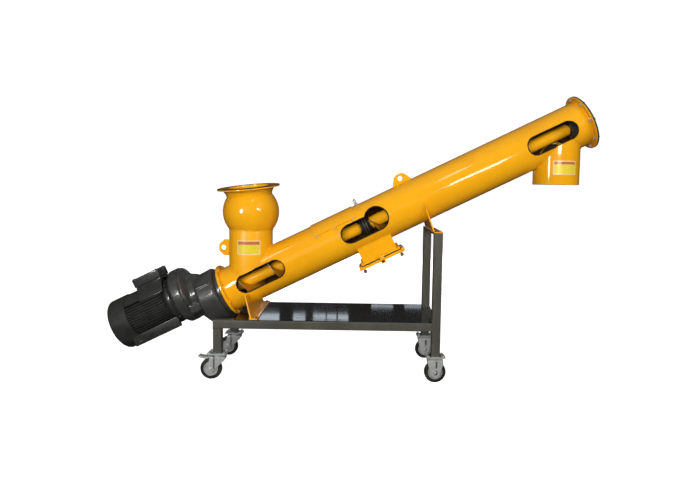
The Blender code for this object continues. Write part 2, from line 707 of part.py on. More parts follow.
def build_motor():
    length = MOTOR_FRONT - MOTOR_BACK
    middle = (MOTOR_FRONT + MOTOR_BACK) / 2
    plate("motor_frame", MOTOR, (middle, 0, 0), motor_outline(), length, FACING, CHARCOAL)
    shield = turned("motor_end_shield", MOTOR, (0, 0, 0),
                    [(0, INPUT_BACK - GAP), (0.112, INPUT_BACK - GAP), (0.112, -0.256),
                     (0.106, MOTOR_FRONT + GAP), (0, MOTOR_FRONT + GAP)], ALONG, CHARCOAL, 32)
    depth = 0.1
    room = (MOTOR_FOOT[1] + GAP - depth / 2, 0, MOTOR_FOOT_HIGH + GAP - depth / 2)
    combine(shield, block("foot_room", MOTOR, room, (depth, 3 * depth, depth)))
    profile = [(0, MOTOR_BACK - GAP)] + cowl_profile()
    profile.append((0, COWL_BACK))
    turned("fan_cowl", MOTOR, (0, 0, 0), profile, ALONG, CHARCOAL, 40)


def build_terminal_box():
    """Box with a flared pedestal that sits on the round top of the motor."""
    length = TERMINAL[1] - TERMINAL[0]
    middle = (TERMINAL[0] + TERMINAL[1]) / 2
    height = TERMINAL_HIGH - TERMINAL_LOW
    box = block("terminal_box", MOTOR, (middle, 0, TERMINAL_LOW + height / 2), (length, 0.120, height), CHARCOAL)
    soften(box, 0.005)
    sink = TERMINAL_LOW + 0.010
    flare = [(-0.104, 0.066), (0.104, 0.066), (0.056, sink), (-0.056, sink)]
    combine(box, plate("box_pedestal", MOTOR, (middle, 0, 0), flare, length - 0.014, FACING), "UNION")
    combine(box, cylinder("frame_room", MOTOR, (middle, 0, 0), FRAME_R + 2 * GAP, 2 * length, ALONG, None, 96))


def build_motor_foot():
    """Cast foot under the motor: two skirts and a top plate, cut clear of the cowl at the back."""
    length = MOTOR_FOOT[1] - MOTOR_FOOT[0]
    middle = (MOTOR_FOOT[0] + MOTOR_FOOT[1]) / 2
    height = MOTOR_FOOT_HIGH - MOTOR_FOOT_LOW
    foot = block("motor_foot", MOTOR, (middle, 0, MOTOR_FOOT_HIGH - height / 2), (length, 2 * MOTOR_FOOT_Y, height),
                 CHARCOAL)
    top_t = 0.014
    skirt_t = 0.016
    under = block("foot_channel", MOTOR, (middle, 0, MOTOR_FOOT_HIGH - top_t - height / 2),
                  (length + 0.1, 2 * (MOTOR_FOOT_Y - skirt_t), height))
    combine(foot, under)
    back = MOTOR_BACK + 0.001
    depth = 0.1
    combine(foot, cylinder("cowl_room", MOTOR, (back - depth / 2, 0, 0), COWL_R + 0.001, depth, ALONG))


build_tube()
build_flanges()
build_screw()
build_hanger()
build_inlet()
build_outlet()
build_top_hatch()
build_cleanout()
build_lugs()
build_trolley()
build_castors()
build_gearbox()
build_motor()
build_terminal_box()
build_motor_foot()
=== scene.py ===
# %% [markdown]
# # Dressing an inclined screw conveyor
# The real machine is a slanted steel tube with a screw turning inside it. A gear motor
# drives the low end, grain or powder falls in through a swivelling inlet, and leaves by
# the pipe at the high end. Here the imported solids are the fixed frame, and each step
# puts a finer piece or a better finish on them. Lengths are metres and +Z is up.

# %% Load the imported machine
from math import acos, asin, cos, hypot, pi, radians, sin, sqrt

import bmesh
import bpy
from mathutils import Matrix, Vector, noise


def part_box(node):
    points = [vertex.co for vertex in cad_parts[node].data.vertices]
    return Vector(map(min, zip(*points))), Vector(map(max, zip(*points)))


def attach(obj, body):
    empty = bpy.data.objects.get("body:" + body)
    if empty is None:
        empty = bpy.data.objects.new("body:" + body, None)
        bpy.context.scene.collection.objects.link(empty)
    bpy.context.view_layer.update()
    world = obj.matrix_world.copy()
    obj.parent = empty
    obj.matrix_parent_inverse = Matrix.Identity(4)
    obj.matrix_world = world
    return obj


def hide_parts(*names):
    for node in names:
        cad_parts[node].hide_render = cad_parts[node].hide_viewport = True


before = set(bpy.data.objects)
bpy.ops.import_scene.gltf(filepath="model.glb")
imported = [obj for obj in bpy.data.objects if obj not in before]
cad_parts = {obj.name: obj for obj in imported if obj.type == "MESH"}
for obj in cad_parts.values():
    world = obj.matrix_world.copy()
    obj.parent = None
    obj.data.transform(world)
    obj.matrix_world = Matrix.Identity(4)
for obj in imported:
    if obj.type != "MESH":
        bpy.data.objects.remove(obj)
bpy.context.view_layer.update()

# %% [markdown]
# ## Three places to build from
# The tube is slanted, so it is far easier to build in its own axes: X runs up the tube
# from the lower flange, Z points square out of its top. A matrix then carries each
# finished shape to the machine. The motor has the same axes, moved up a little.

# %% Axes of the machine, the tube and the motor
TILT = radians(26.3)
FOOT = Vector((-0.6035, 0, 0.382))
POST_X = 0.400
GAP = 0.0003
post_low, post_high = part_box("post_right_near")
SHIFT = (post_low.x + post_high.x) / 2 - POST_X
MACHINE = Matrix.Translation((SHIFT, 0, 0))
TUBE = MACHINE @ Matrix.Translation(FOOT) @ Matrix.Rotation(-TILT, 4, "Y")
MOTOR_T = 0.071
MOTOR = TUBE @ Matrix.Translation((0, 0, MOTOR_T))
ALONG = Matrix.Rotation(pi / 2, 4, "Y")
ACROSS = Matrix.Rotation(pi / 2, 4, "X")
FACING = Matrix.Rotation(pi / 2, 4, "Z") @ ACROSS
print("shift along X:", round(SHIFT, 5))


def at(x, y, z):
    return Matrix.Translation((x, y, z))


def stand(point, outward):
    """Place whose Z points outward, for a bolt or a boss."""
    return Matrix.Translation(point) @ Vector(outward).to_track_quat("Z", "Y").to_matrix().to_4x4()


# %% [markdown]
# ## Camera
# The photograph was taken from the front, at about the height of the tube, with a
# normal lens. Fitting the trolley, the tube and the wheels to their places in the
# picture gave the camera's place, its small tilt and its focal length.

# %% Camera at the photograph's angle
FOCAL_PX, SENSOR_MM = 560.0, 36
FRAME_W, FRAME_H = 700, 500
CENTRE_ROW, COLUMN_SHIFT = 223.48, -0.25
EYE = Vector((SHIFT, -2.7429, 0.9083))
LOOK_DOWN, ROLL, YAW = 0.0679, 0.0154, 0.0015
camera = bpy.data.objects.new("camera", bpy.data.cameras.new("camera"))
bpy.context.scene.collection.objects.link(camera)
camera.data.sensor_width = SENSOR_MM
camera.data.lens = FOCAL_PX / FRAME_W * SENSOR_MM
camera.data.shift_x = COLUMN_SHIFT / FRAME_W
camera.data.shift_y = -(FRAME_H / 2 - CENTRE_ROW) / FRAME_W
camera.matrix_world = (Matrix.Translation(EYE) @ Matrix.Rotation(YAW, 4, "Z")
                       @ Matrix.Rotation(pi / 2 - LOOK_DOWN, 4, "X") @ Matrix.Rotation(ROLL, 4, "Z"))
bpy.context.scene.camera = camera
print("lens:", round(camera.data.lens, 2), "mm")

# %% [markdown]
# ## Writing a material as arithmetic
# A finish is easier to read as a sum than as a web of boxes. One small class holds a
# node's output and lets Python's own signs add the Math nodes. Every other node comes
# from one method, which takes its type, its settings and the values of its sockets.


# %% A socket that can be added and multiplied
class Wire:
    """A node's output, on which Python's arithmetic signs work."""

    def __init__(self, maker, socket):
        self.maker, self.socket = maker, socket

    def maths(self, operation, first, second):
        return self.maker.node("ShaderNodeMath", {"operation": operation}, {0: first, 1: second})

    def __add__(self, other):
        return self.maths("ADD", self, other)

    __radd__ = __add__

    def __sub__(self, other):
        return self.maths("SUBTRACT", self, other)

    def __rsub__(self, other):
        return self.maths("SUBTRACT", other, self)

    def __mul__(self, other):
        return self.maths("MULTIPLY", self, other)

    __rmul__ = __mul__


class Finish:
    """A material with one Principled shader, built up from wires."""

    def __init__(self, name, **constants):
        self.material = bpy.data.materials.new(name)
        self.material.use_nodes = True
        self.tree = self.material.node_tree
        self.shader = self.tree.nodes["Principled BSDF"]
        for socket, value in constants.items():
            self.shader.inputs[socket.replace("_", " ")].default_value = value
        self.place = self.node("ShaderNodeTexCoord", out="Object")

    def node(self, kind, settings=None, values=None, out=0):
        node = self.tree.nodes.new(kind)
        for key, value in (settings or {}).items():
            setattr(node, key, value)
        for key, value in (values or {}).items():
            if isinstance(value, Wire):
                self.tree.links.new(value.socket, node.inputs[key])
            else:
                node.inputs[key].default_value = value
        return Wire(self, node.outputs[out])

    def cloud(self, scale, detail=3.0, rough=0.55, stretch=(1, 1, 1)):
        """Soft random pattern; stretch squeezes it along an axis."""
        place = self.node("ShaderNodeVectorMath", {"operation": "MULTIPLY"}, {0: self.place, 1: stretch})
        return self.node("ShaderNodeTexNoise", {}, {"Vector": place, "Scale": scale, "Detail": detail,
                                                    "Roughness": rough})

    def band(self, wire, low, high):
        """Nothing below low, full above high, smooth between."""
        return self.node("ShaderNodeMapRange", {"interpolation_type": "SMOOTHSTEP"}, {0: wire, 1: low, 2: high})

    def blend(self, first, second, mask):
        """One colour where the mask is nought, the other where it is one."""
        colours = [c if isinstance(c, Wire) else (*c, 1) for c in (first, second)]
        return self.node("ShaderNodeMix", {"data_type": "RGBA"}, {0: mask, 6: colours[0], 7: colours[1]}, out=2)

    def rubbed_edges(self, radius):
        """Mask that is bright on convex and concave edges alike."""
        soft = self.node("ShaderNodeBevel", {"samples": 4}, {"Radius": radius})
        flat = self.node("ShaderNodeNewGeometry", out="Normal")
        turn = self.node("ShaderNodeVectorMath", {"operation": "DOT_PRODUCT"}, {0: soft, 1: flat}, out="Value")
        return self.band(1 - turn, 0.02, 0.16)

    def surface(self, colour, rough, height, distance, strength):
        """Join up colour, roughness and relief, and hand back the finish."""
        bump = self.node("ShaderNodeBump", {}, {"Height": height, "Distance": distance, "Strength": strength})
        for socket, wire in (("Base Color", colour), ("Roughness", rough), ("Normal", bump)):
            self.tree.links.new(wire.socket, self.shader.inputs[socket])
        return self


print("shader helpers ready")

# %% [markdown]
# ## Enamel
# The whole conveyor is sprayed with a thick, glossy orange-yellow enamel. Real spray
# paint is not flat: it has a fine orange-peel skin, the rolled steel under it waves a
# little, dust dulls it in patches, and the paint is thin and dark on sharp edges. The
# inlet pipe has a duller coat. Powder has scoured the blades of the screw dull, and their
# colour is painted darker as shade for the dim inside of the tube.


# %% Orange enamel: glossy, dull, and scoured with painted shade
def enamel(name, base=(0.87, 0.395, 0.007), deep=(0.66, 0.235, 0.003), gloss=0.17, coat=0.8,
           haze=0.05):
    """Orange spray paint; coat and haze are the strength and blur of its clear skin."""
    finish = Finish(name, Coat_Weight=coat, Coat_Roughness=haze, Specular_IOR_Level=0.2)
    patches = finish.band(finish.cloud(5.0), 0.35, 0.72)
    dust = finish.band(finish.cloud(24.0, 6.0, 0.65), 0.56, 0.78)
    worn = finish.rubbed_edges(0.0025) * finish.band(finish.cloud(60.0, 4.0), 0.42, 0.62)
    colour = finish.blend(base, deep, patches * 0.22)
    colour = finish.blend(colour, (0.42, 0.20, 0.03), dust * 0.16)
    colour = finish.blend(colour, (0.20, 0.075, 0.012), worn * 0.75)
    peel = finish.cloud(420.0, 1.0) * 0.10 + finish.cloud(7.0, 1.0)
    return finish.surface(colour, dust * 0.16 + worn * 0.25 + gloss, peel, 0.0012, 0.22)


paint = enamel("orange_enamel")
dull_paint = enamel("orange_enamel_dull", gloss=0.34, coat=0.3, haze=0.34)
# the blades' darker colour is painted shade; their dull, hazy coat is scoured paint
blade_paint_shaded = enamel("orange_enamel_scoured_painted_shade", (0.50, 0.19, 0.006), (0.34, 0.11, 0.003), 0.34, 0.3, 0.30)
print("enamels:", paint.material.name, dull_paint.material.name, blade_paint_shaded.material.name)

# %% [markdown]
# ## Painted shade inside the tube
# Behind the cut windows the tube has a thin coat of the same paint with dust, painted a
# dark orange brown as shade for the little light that reaches it. This painted shade
# keeps it from looking like a hole.


# %% Painted shade inside the pipes
# Colour of shade, painted on the inner faces of the tube, the pipes, the ball and the cowl behind its guard
def painted_shade_inside_finish():
    finish = Finish("tube_inside_painted_shade", Metallic=0.0)
    dust = finish.band(finish.cloud(18.0, 5.0), 0.4, 0.7)
    colour = finish.blend((0.042, 0.015, 0.003), (0.105, 0.040, 0.008), dust)
    return finish.surface(colour, dust * 0.25 + 0.42, finish.cloud(160.0, 3.0), 0.001, 0.3)


inside = painted_shade_inside_finish()
print("inside:", inside.material.name)

# %% [markdown]
# ## Frame paint, castings and machined steel
# The trolley has a satin grey-olive paint over square steel tube, with rub marks along
# the corners. The drive is a casting: a sand-mould grain shows through semi-gloss
# charcoal paint. Bright parts are zinc plated, with the faint crystals of the bath.


# %% Greys and metals
def frame_paint():
    finish = Finish("frame_grey", Coat_Weight=0.12, Coat_Roughness=0.25)
    streaks = finish.cloud(9.0, 5.0, 0.6, (1, 1, 0.25))
    # random darker patches of grime on the frame paint
    grime_and_shade = finish.band(finish.cloud(30.0, 6.0, 0.7), 0.52, 0.74)
    worn = finish.rubbed_edges(0.0022) * finish.band(finish.cloud(45.0, 5.0), 0.46, 0.6)
    colour = finish.blend((0.056, 0.054, 0.043), (0.075, 0.072, 0.059), finish.band(streaks, 0.35, 0.65))
    colour = finish.blend(colour, (0.048, 0.043, 0.033), grime_and_shade * 0.55)
    colour = finish.blend(colour, (0.16, 0.155, 0.13), worn * 0.6)
    return finish.surface(colour, grime_and_shade * 0.2 + 0.40 - worn * 0.08,
                          finish.cloud(350.0, 2.0) * 0.3 + finish.cloud(12.0, 2.0) * 0.6, 0.0009, 0.45)


def casting_paint(name, grain, gloss, depth=1.0):
    """Charcoal paint over cast metal; a larger depth makes it paler."""
    finish = Finish(name, Coat_Weight=0.6, Coat_Roughness=0.09)
    oil = finish.band(finish.cloud(11.0, 5.0, 0.65), 0.45, 0.7)
    worn = finish.rubbed_edges(0.002) * finish.band(finish.cloud(70.0, 4.0), 0.45, 0.62)
    low, high = (tuple(depth * part for part in tone)
                 for tone in ((0.015, 0.0155, 0.0135), (0.026, 0.026, 0.022)))
    colour = finish.blend(low, high, finish.band(finish.cloud(22.0), 0.35, 0.65))
    colour = finish.blend(colour, (0.020, 0.018, 0.014), oil * 0.5)
    colour = finish.blend(colour, (0.10, 0.10, 0.09), worn * 0.5)
    rough = finish.band(finish.cloud(35.0, 4.0), 0.3, 0.7) * 0.14 + gloss - oil * 0.05
    sand = finish.cloud(grain, 3.0, 0.6) * 0.5 + finish.cloud(grain * 0.12, 3.0) * 0.8
    return finish.surface(colour, rough, sand, 0.0012, 0.5)


def plated(name, light, dark, shine, metal=0.9):
    finish = Finish(name, Metallic=metal)
    crystals = finish.node("ShaderNodeTexVoronoi", {"feature": "F1"}, {"Vector": finish.place, "Scale": 260.0},
                           out="Color")
    grain = finish.node("ShaderNodeSeparateXYZ", {}, {0: crystals})
    dull = finish.band(finish.cloud(38.0, 5.0, 0.65), 0.45, 0.72)
    colour = finish.blend(light, dark, grain * 0.35 + dull * 0.5)
    return finish.surface(colour, grain * 0.08 + dull * 0.18 + shine, finish.cloud(300.0, 3.0), 0.0005, 0.35)


frame_grey = frame_paint()
iron = casting_paint("cast_iron_charcoal", 420.0, 0.33, 2.0)
alloy = casting_paint("cast_alloy_charcoal", 520.0, 0.42)
zinc = plated("zinc_plate", (0.52, 0.53, 0.50), (0.30, 0.31, 0.29), 0.30, 0.4)
bolt_steel = plated("bolt_steel", (0.38, 0.36, 0.33), (0.14, 0.13, 0.12), 0.34)
dark_steel = plated("black_oxide_steel", (0.065, 0.060, 0.055), (0.022, 0.020, 0.018), 0.38, 0.7)
brass = plated("aged_brass", (0.32, 0.185, 0.060), (0.105, 0.058, 0.022), 0.32)
machined = plated("machined_ring", (0.40, 0.37, 0.31), (0.20, 0.18, 0.15), 0.34)
print("greys and metals: 8")

# %% [markdown]
# ## Rubber, tyres, sheet steel and label stock
# Rubber trims are matt with a fine bloom. Tyres pick up dust on their tread. The shelf
# is a thin sheet with a hard, nearly black gloss. Two blank plates sit on the
# upright pipes; they carry no words, only a pale border, a band and a plain field.


# %% Rubber, sheet and plates
def rubber(name, base, bloom, grain):
    finish = Finish(name, Metallic=0.0)
    dusty = finish.band(finish.cloud(28.0, 6.0, 0.7), 0.42, 0.75)
    return finish.surface(finish.blend(base, bloom, dusty), dusty * 0.2 + 0.5, finish.cloud(grain, 4.0), 0.0008, 0.4)


def sheet_gloss():
    finish = Finish("shelf_gloss", Coat_Weight=0.3, Coat_Roughness=0.06, Specular_IOR_Level=0.35)
    smear = finish.band(finish.cloud(7.0, 6.0, 0.7, (0.5, 1, 1)), 0.5, 0.75)
    scratch = finish.band(finish.cloud(120.0, 2.0, 0.5, (0.06, 1, 1)), 0.62, 0.70)
    colour = finish.blend((0.010, 0.0105, 0.0105), (0.036, 0.034, 0.030), smear * 0.6)
    return finish.surface(colour, smear * 0.08 + scratch * 0.12 + 0.06, finish.cloud(5.0, 1.0), 0.002, 0.08)


def plate_print(name, colour, faded):
    finish = Finish(name, Coat_Weight=0.35, Coat_Roughness=0.12)
    wear = finish.band(finish.cloud(140.0, 5.0, 0.7), 0.5, 0.75)
    return finish.surface(finish.blend(colour, faded, wear * 0.6), wear * 0.25 + 0.30, finish.cloud(90.0, 2.0),
                          0.0003, 0.3)


trim_rubber = rubber("trim_rubber", (0.007, 0.006, 0.006), (0.020, 0.016, 0.013), 600.0)
tyre_rubber = rubber("tyre_rubber", (0.011, 0.011, 0.011), (0.034, 0.033, 0.030), 300.0)
sheet = sheet_gloss()
plate_border = plate_print("plate_border", (0.80, 0.63, 0.27), (0.68, 0.48, 0.16))
plate_band = plate_print("plate_band", (0.50, 0.13, 0.045), (0.60, 0.28, 0.10))
plate_field = plate_print("plate_field", (0.74, 0.57, 0.032), (0.66, 0.47, 0.06))
print("soft and printed finishes: 6")

# %% [markdown]
# ## Shapes from outlines
# Nearly everything on this machine was turned, rolled, cut from plate or bent from
# wire. So four makers are enough: one turns a profile, one thickens an outline, one
# makes a box with eased edges, one runs a round bead along a path. Small helpers give
# them their arcs, their eased corners and their places round a circle.


# %% Turning, plates, boxes and beads
def circle(count, shift=0):
    """Evenly spaced angles of one full turn."""
    return [2 * pi * (i + shift) / count for i in range(count)]


def between(start, end, steps):
    """Evenly spaced numbers from start to end, both included."""
    return [start + (end - start) * i / steps for i in range(steps + 1)]


def neighbours(rings, closed=True):
    """Each ring or point with the one that follows it."""
    return list(zip(rings, rings[1:])) + ([(rings[-1], rings[0])] if closed else [])


def arc(cx, cy, radius, start, end, steps):
    return [(cx + radius * cos(a), cy + radius * sin(a)) for a in between(start, end, steps)]


def rectangle(half_x, half_y):
    return [(-half_x, -half_y), (half_x, -half_y), (half_x, half_y), (-half_x, half_y)]


def eased(points, radius, steps=3, closed=True):
    """Outline with each corner swapped for a short curve."""
    count = len(points)
    out = []
    for i, here in enumerate(points):
        if not closed and i in (0, count - 1):
            out.append(here)
            continue
        here = Vector(here)
        before, after = Vector(points[i - 1]) - here, Vector(points[(i + 1) % count]) - here
        reach = [min(radius, 0.45 * v.length) for v in (before, after)]
        start, end = here + before.normalized() * reach[0], here + after.normalized() * reach[1]
        for k in range(steps + 1):
            t = k / steps
            out.append(tuple(start * (1 - t) ** 2 + here * 2 * t * (1 - t) + end * t * t))
    return out


def sleeve(bm, low, high):
    """Faces between two rings with the same number of points."""
    for (a, b), (c, d) in zip(neighbours(low), neighbours(high)):
        bm.faces.new([a, b, d, c])


def turn(bm, profile, place, sides=96, closed=False):
    """Faces of a profile of (radius, height) turned about local Z."""
    rings = []
    for r, z in profile:
        angles = [0.0] if r < 1e-6 else circle(sides)
        rings.append([bm.verts.new(place @ Vector((r * cos(a), r * sin(a), z))) for a in angles])
    for low, high in neighbours(rings, closed):
        for i in range(sides):
            corners = [ring[k % len(ring)] for ring, k in ((low, i), (low, (i + 1) % sides),
                                                           (high, (i + 1) % sides), (high, i))]
            corners = list(dict.fromkeys(corners))
            if len(corners) > 2:
                bm.faces.new(corners)


def ring_profile(outer, inner, low, high, ease=0.001):
    return eased([(outer, high), (outer, low), (inner, low), (inner, high)], ease)


def disc(bm, place, radius, low, high, ease, sides):
    """Round plate about local Z, with eased rims."""
    turn(bm, eased([(0, low), (radius, low), (radius, high), (0, high)], ease, 2, False), place, sides)


def prism(bm, outline, low, high, place, ease=0.0008):
    """Plate from a closed outline in local XY, with its rims eased."""
    rings = [[bm.verts.new(place @ Vector((x, y, z))) for x, y in outline] for z in (low, high)]
    caps = [bm.faces.new(ring) for ring in rings]
    sleeve(bm, *rings)
    if ease:
        rim = list({edge for cap in caps for edge in cap.edges})
        bmesh.ops.bevel(bm, geom=rim, offset=ease, segments=2, profile=0.5, affect="EDGES", clamp_overlap=True)


def slab(bm, centre, size, place, ease=0.0015, segments=2):
    """Box with its edges eased."""
    made = bmesh.ops.create_cube(bm, size=1, matrix=place @ at(*centre) @ Matrix.Diagonal((*size, 1)))
    if ease:
        edges = list({edge for vert in made["verts"] for edge in vert.link_edges})
        bmesh.ops.bevel(bm, geom=edges, offset=ease, segments=segments, profile=0.5, affect="EDGES",
                        clamp_overlap=True)


def bead(bm, points, radius, closed=False, sides=8, ripple=0.0):
    """Round rope of material along a path, for welds, trims and wire."""
    count = len(points)
    points = [Vector(p) for p in points]
    rings = []
    side = None
    for i, here in enumerate(points):
        ahead = points[(i + 1) % count] if closed or i < count - 1 else here
        behind = points[i - 1] if closed or i else here
        along = (ahead - behind).normalized()
        side = side or along.orthogonal()
        side = (side - along * side.dot(along)).normalized()
        across = along.cross(side)
        r = radius * (1 + ripple * noise.noise(here * 900))
        rings.append([bm.verts.new(here + side * (r * cos(a)) + across * (r * sin(a))) for a in circle(sides)])
    for low, high in neighbours(rings, closed):
        sleeve(bm, low, high)
    if not closed:
        bm.faces.new(rings[0])
        bm.faces.new(rings[-1])


print("shape helpers ready")

# %% [markdown]
# ## Bolts
# A hexagon head has a flat disc of a washer under it and its corners are turned off at
# the top. The same shape, a little deeper and with a stub in it, is a nut on a stud.


# %% Hexagon heads, nuts and round heads
WASHER_T = 0.0014


def hex_head(bm, place, across=0.013, height=0.006, washer=True, stud=0.0):
    corner = across / 2 / cos(pi / 6)
    base = WASHER_T if washer else 0.0
    if washer:
        disc(bm, place, across * 0.78, 0, base, 0.0004, 20)
    turn(bm, [(0, base), (corner, base), (corner, base + height * 0.82), (across * 0.47, base + height),
              (0, base + height)], place, 6)
    if stud:
        turn(bm, [(0, base), (across * 0.29, base), (across * 0.29, base + height + stud), (0, base + height + stud)],
             place, 12)


def cap_head(bm, place, radius=0.004, height=0.003):
    turn(bm, [(0, 0), (radius, 0), (radius, height * 0.5), (radius * 0.7, height * 0.9), (0, height)], place, 16)


print("fasteners ready")

# %% [markdown]
# ## From loose faces to a finished piece
# Each shape becomes an object whose origin stays at the machine's own, so that one set
# of coordinates drives every finish. Faces that meet at a shallow angle are shaded
# smooth, the rest keep a crisp edge. Then the piece is told which body carries it.


# %% Making, cutting and dressing a piece
def solid(name, bm):
    bmesh.ops.recalc_face_normals(bm, faces=bm.faces)
    mesh = bpy.data.meshes.new(name)
    bm.to_mesh(mesh)
    bm.free()
    obj = bpy.data.objects.new(name, mesh)
    bpy.context.scene.collection.objects.link(obj)
    return obj


def apply_steps(obj):
    bpy.context.view_layer.update()
    mesh = bpy.data.meshes.new_from_object(obj.evaluated_get(bpy.context.evaluated_depsgraph_get()))
    obj.modifiers.clear()
    obj.data = mesh
    return obj


def carve(obj, *tools):
    """Cut helper solids out of a piece and throw the helpers away."""
    for tool in tools:
        step = obj.modifiers.new("carve", "BOOLEAN")
        step.operation = "DIFFERENCE"
        step.solver = "EXACT"
        step.object = tool
        apply_steps(obj)
        bpy.data.objects.remove(tool)
        bm = bmesh.new()
        bm.from_mesh(obj.data)
        bmesh.ops.remove_doubles(bm, verts=bm.verts, dist=2e-6)
        open_edges = sum(1 for edge in bm.edges if len(edge.link_faces) != 2)
        bm.to_mesh(obj.data)
        bm.free()
        if open_edges:
            print(f"{obj.name}: {open_edges} open edges after a cut")
    return obj


def shade(mesh, angle):
    mesh.polygons.foreach_set("use_smooth", [True] * len(mesh.polygons))
    mesh.set_sharp_from_angle(angle=radians(angle))
    mesh.update()


def dress(obj, finish, replaces=(), body="machine", angle=33):
    obj.data.materials.clear()
    obj.data.materials.append(finish.material)
    shade(obj.data, angle)
    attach(obj, body)
    if replaces:
        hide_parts(*replaces)
    print(f"{obj.name}: {len(obj.data.polygons)} faces")
    return obj


def repaint(node, finish):
    """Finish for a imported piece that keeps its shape."""
    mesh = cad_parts[node].data
    mesh.materials.clear()
    mesh.materials.append(finish.material)


def off_axis(inverse, centre):
    """How far a point lies from the X axis of a place whose inverse is given."""
    place = inverse @ centre
    return hypot(place.y, place.z)


def second_finish(obj, finish, chosen):
    """Give another finish to the faces whose middle the test picks."""
    obj.data.materials.append(finish.material)
    index = len(obj.data.materials) - 1
    for face in obj.data.polygons:
        if chosen(face.center):
            face.material_index = index


print("piece helpers ready")

# %% [markdown]
# ## The tube
# A length of rolled steel pipe, with three view windows sawn in the near side, holes
# for the inlet and the outlet, a hatch opening on top and a clean-out opening below.
# Fine turning and exact cuts give the long, unbroken highlight that the real one has.

# %% Sizes of the tube
TUBE_LENGTH, TUBE_R, TUBE_WALL = 1.910, 0.1095, 0.005
BORE_R = TUBE_R - TUBE_WALL
WINDOW_HALF = 0.044
LOW_WINDOW, HIGH_WINDOW = (0.075, 0.321), (1.593, 1.843)
MID_START, MID_ROUND, MID_ROUND_R = 0.626, (0.813, 0.013), 0.057
PIPE_R, PIPE_WALL, INLET_X, SEAM_Z = 0.1055, 0.005, -0.4905, 0.686
OUTLET_R, OUTLET_X, OUTLET_Z = 0.1075, 0.994, 0.926
HATCH, HATCH_HALF_ANGLE, HATCH_T = (0.507, 0.728), radians(58), 0.004
BOX, BOX_HALF_Y, BOX_T, BOX_WALL = (0.667, 0.842), 0.070, -0.158, 0.004
ROUND_SIDES = 160


def stadium(start, end, half, steps=18):
    return (arc(end - half, 0, half, -pi / 2, pi / 2, steps) + arc(start + half, 0, half, pi / 2, 3 * pi / 2, steps))


def middle_outline():
    """Slot on the left and a larger round on the right, as one opening."""
    s, t = MID_ROUND
    meet = acos(-sqrt(MID_ROUND_R ** 2 - (WINDOW_HALF - t) ** 2) / MID_ROUND_R)
    start = MID_START + WINDOW_HALF
    return (arc(s, t, MID_ROUND_R, -pi / 2, meet, 28)
            + arc(start, 0, WINDOW_HALF, pi / 2, 3 * pi / 2, 18))


WINDOWS = {"lower": stadium(*LOW_WINDOW, WINDOW_HALF), "middle": middle_outline(),
           "upper": stadium(*HIGH_WINDOW, WINDOW_HALF)}


def window_tool(outline):
    bm = bmesh.new()
    prism(bm, outline, TUBE_R - 0.05, TUBE_R + 0.05, TUBE @ ACROSS, 0)
    return solid("tool", bm)


def rod_tool(place, radius, low, high, sides=ROUND_SIDES):
    bm = bmesh.new()
    turn(bm, [(0, low), (radius, low), (radius, high), (0, high)], place, sides)
    return solid("tool", bm)


def box_tool(centre, size, place):
    bm = bmesh.new()
    slab(bm, centre, size, place, 0)
    return solid("tool", bm)


def tube_height(x, y, side=1):
    """Height where an upright line at (x, y) of the machine meets the tube's skin."""
    t = side * sqrt(max(TUBE_R ** 2 - y ** 2, 0))
    s = (x - FOOT.x + t * sin(TILT)) / cos(TILT)
    return FOOT.z + s * sin(TILT) + t * cos(TILT)


print("window outlines:", {name: len(points) for name, points in WINDOWS.items()})

# %% Roll the tube and cut its openings
bm = bmesh.new()
# a small turn keeps the facets from meeting the tips of the openings
turn(bm, ring_profile(TUBE_R, BORE_R, 0, TUBE_LENGTH, 0.0006), TUBE @ ALONG @ Matrix.Rotation(0.0127, 4, "Z"),
     ROUND_SIDES, True)
tube = solid("tube", bm)
tools = [window_tool(outline) for outline in WINDOWS.values()]
# each pipe's hole goes through one wall only
BELOW_SKIN, CUT_DEPTH = 0.12, 0.16
tools.append(rod_tool(MACHINE @ at(INLET_X, 0, tube_height(INLET_X, 0) - BELOW_SKIN), PIPE_R - PIPE_WALL,
                      0, CUT_DEPTH))
tools.append(rod_tool(MACHINE @ at(OUTLET_X, 0, tube_height(OUTLET_X, 0, -1) + BELOW_SKIN),
                      OUTLET_R - PIPE_WALL, -CUT_DEPTH, 0))
hatch_middle = (HATCH[0] + HATCH[1]) / 2
box_middle = (BOX[0] + BOX[1]) / 2
tools.append(box_tool((hatch_middle, 0, TUBE_R), (HATCH[1] - HATCH[0] - 0.044, 0.14, 0.09), TUBE))
tools.append(box_tool((box_middle, 0, -TUBE_R),
                      (BOX[1] - BOX[0] - 2 * BOX_WALL, 2 * (BOX_HALF_Y - BOX_WALL), 0.09), TUBE))
carve(tube, *tools)
dress(tube, paint, ["conveyor_tube"])
TO_TUBE = TUBE.inverted()
# the inner faces get the painted shade
second_finish(tube, inside, lambda centre: off_axis(TO_TUBE, centre) < BORE_R + 0.0005)

# %% [markdown]
# ## Rubber round the windows
# Sawn steel is sharp, so each opening has a black rubber edge pushed over it. A round
# bead that follows the opening, half over the wall on both sides, reads as that trim.
# The path is drawn flat and then laid on the tube's curved skin.


# %% Edge trims
def on_skin(s, t, radius):
    return TUBE @ Vector((s, -sqrt(radius ** 2 - t ** 2), t))


def even_path(points, gap):
    """Closed path with extra points on its long straight stretches."""
    out = []
    for (x0, y0), (x1, y1) in neighbours(points):
        pieces = max(1, round(hypot(x1 - x0, y1 - y0) / gap))
        out += [(x0 + (x1 - x0) * k / pieces, y0 + (y1 - y0) * k / pieces) for k in range(pieces)]
    return out


TRIM_R = 0.0031
for name, outline in WINDOWS.items():
    bm = bmesh.new()
    path = [on_skin(s, t, TUBE_R - 0.0016) for s, t in even_path(outline, 0.006)]
    bead(bm, path, TRIM_R, True, 10)
    dress(solid(f"{name}_window_trim", bm), trim_rubber, angle=60)

# %% [markdown]
# ## Flanges and the end cover
# Both ends of the tube carry a flat ring, welded on and drilled for eight bolts. The
# cover is bolted to the upper one, with a cap over the shaft's end and a dark edge.

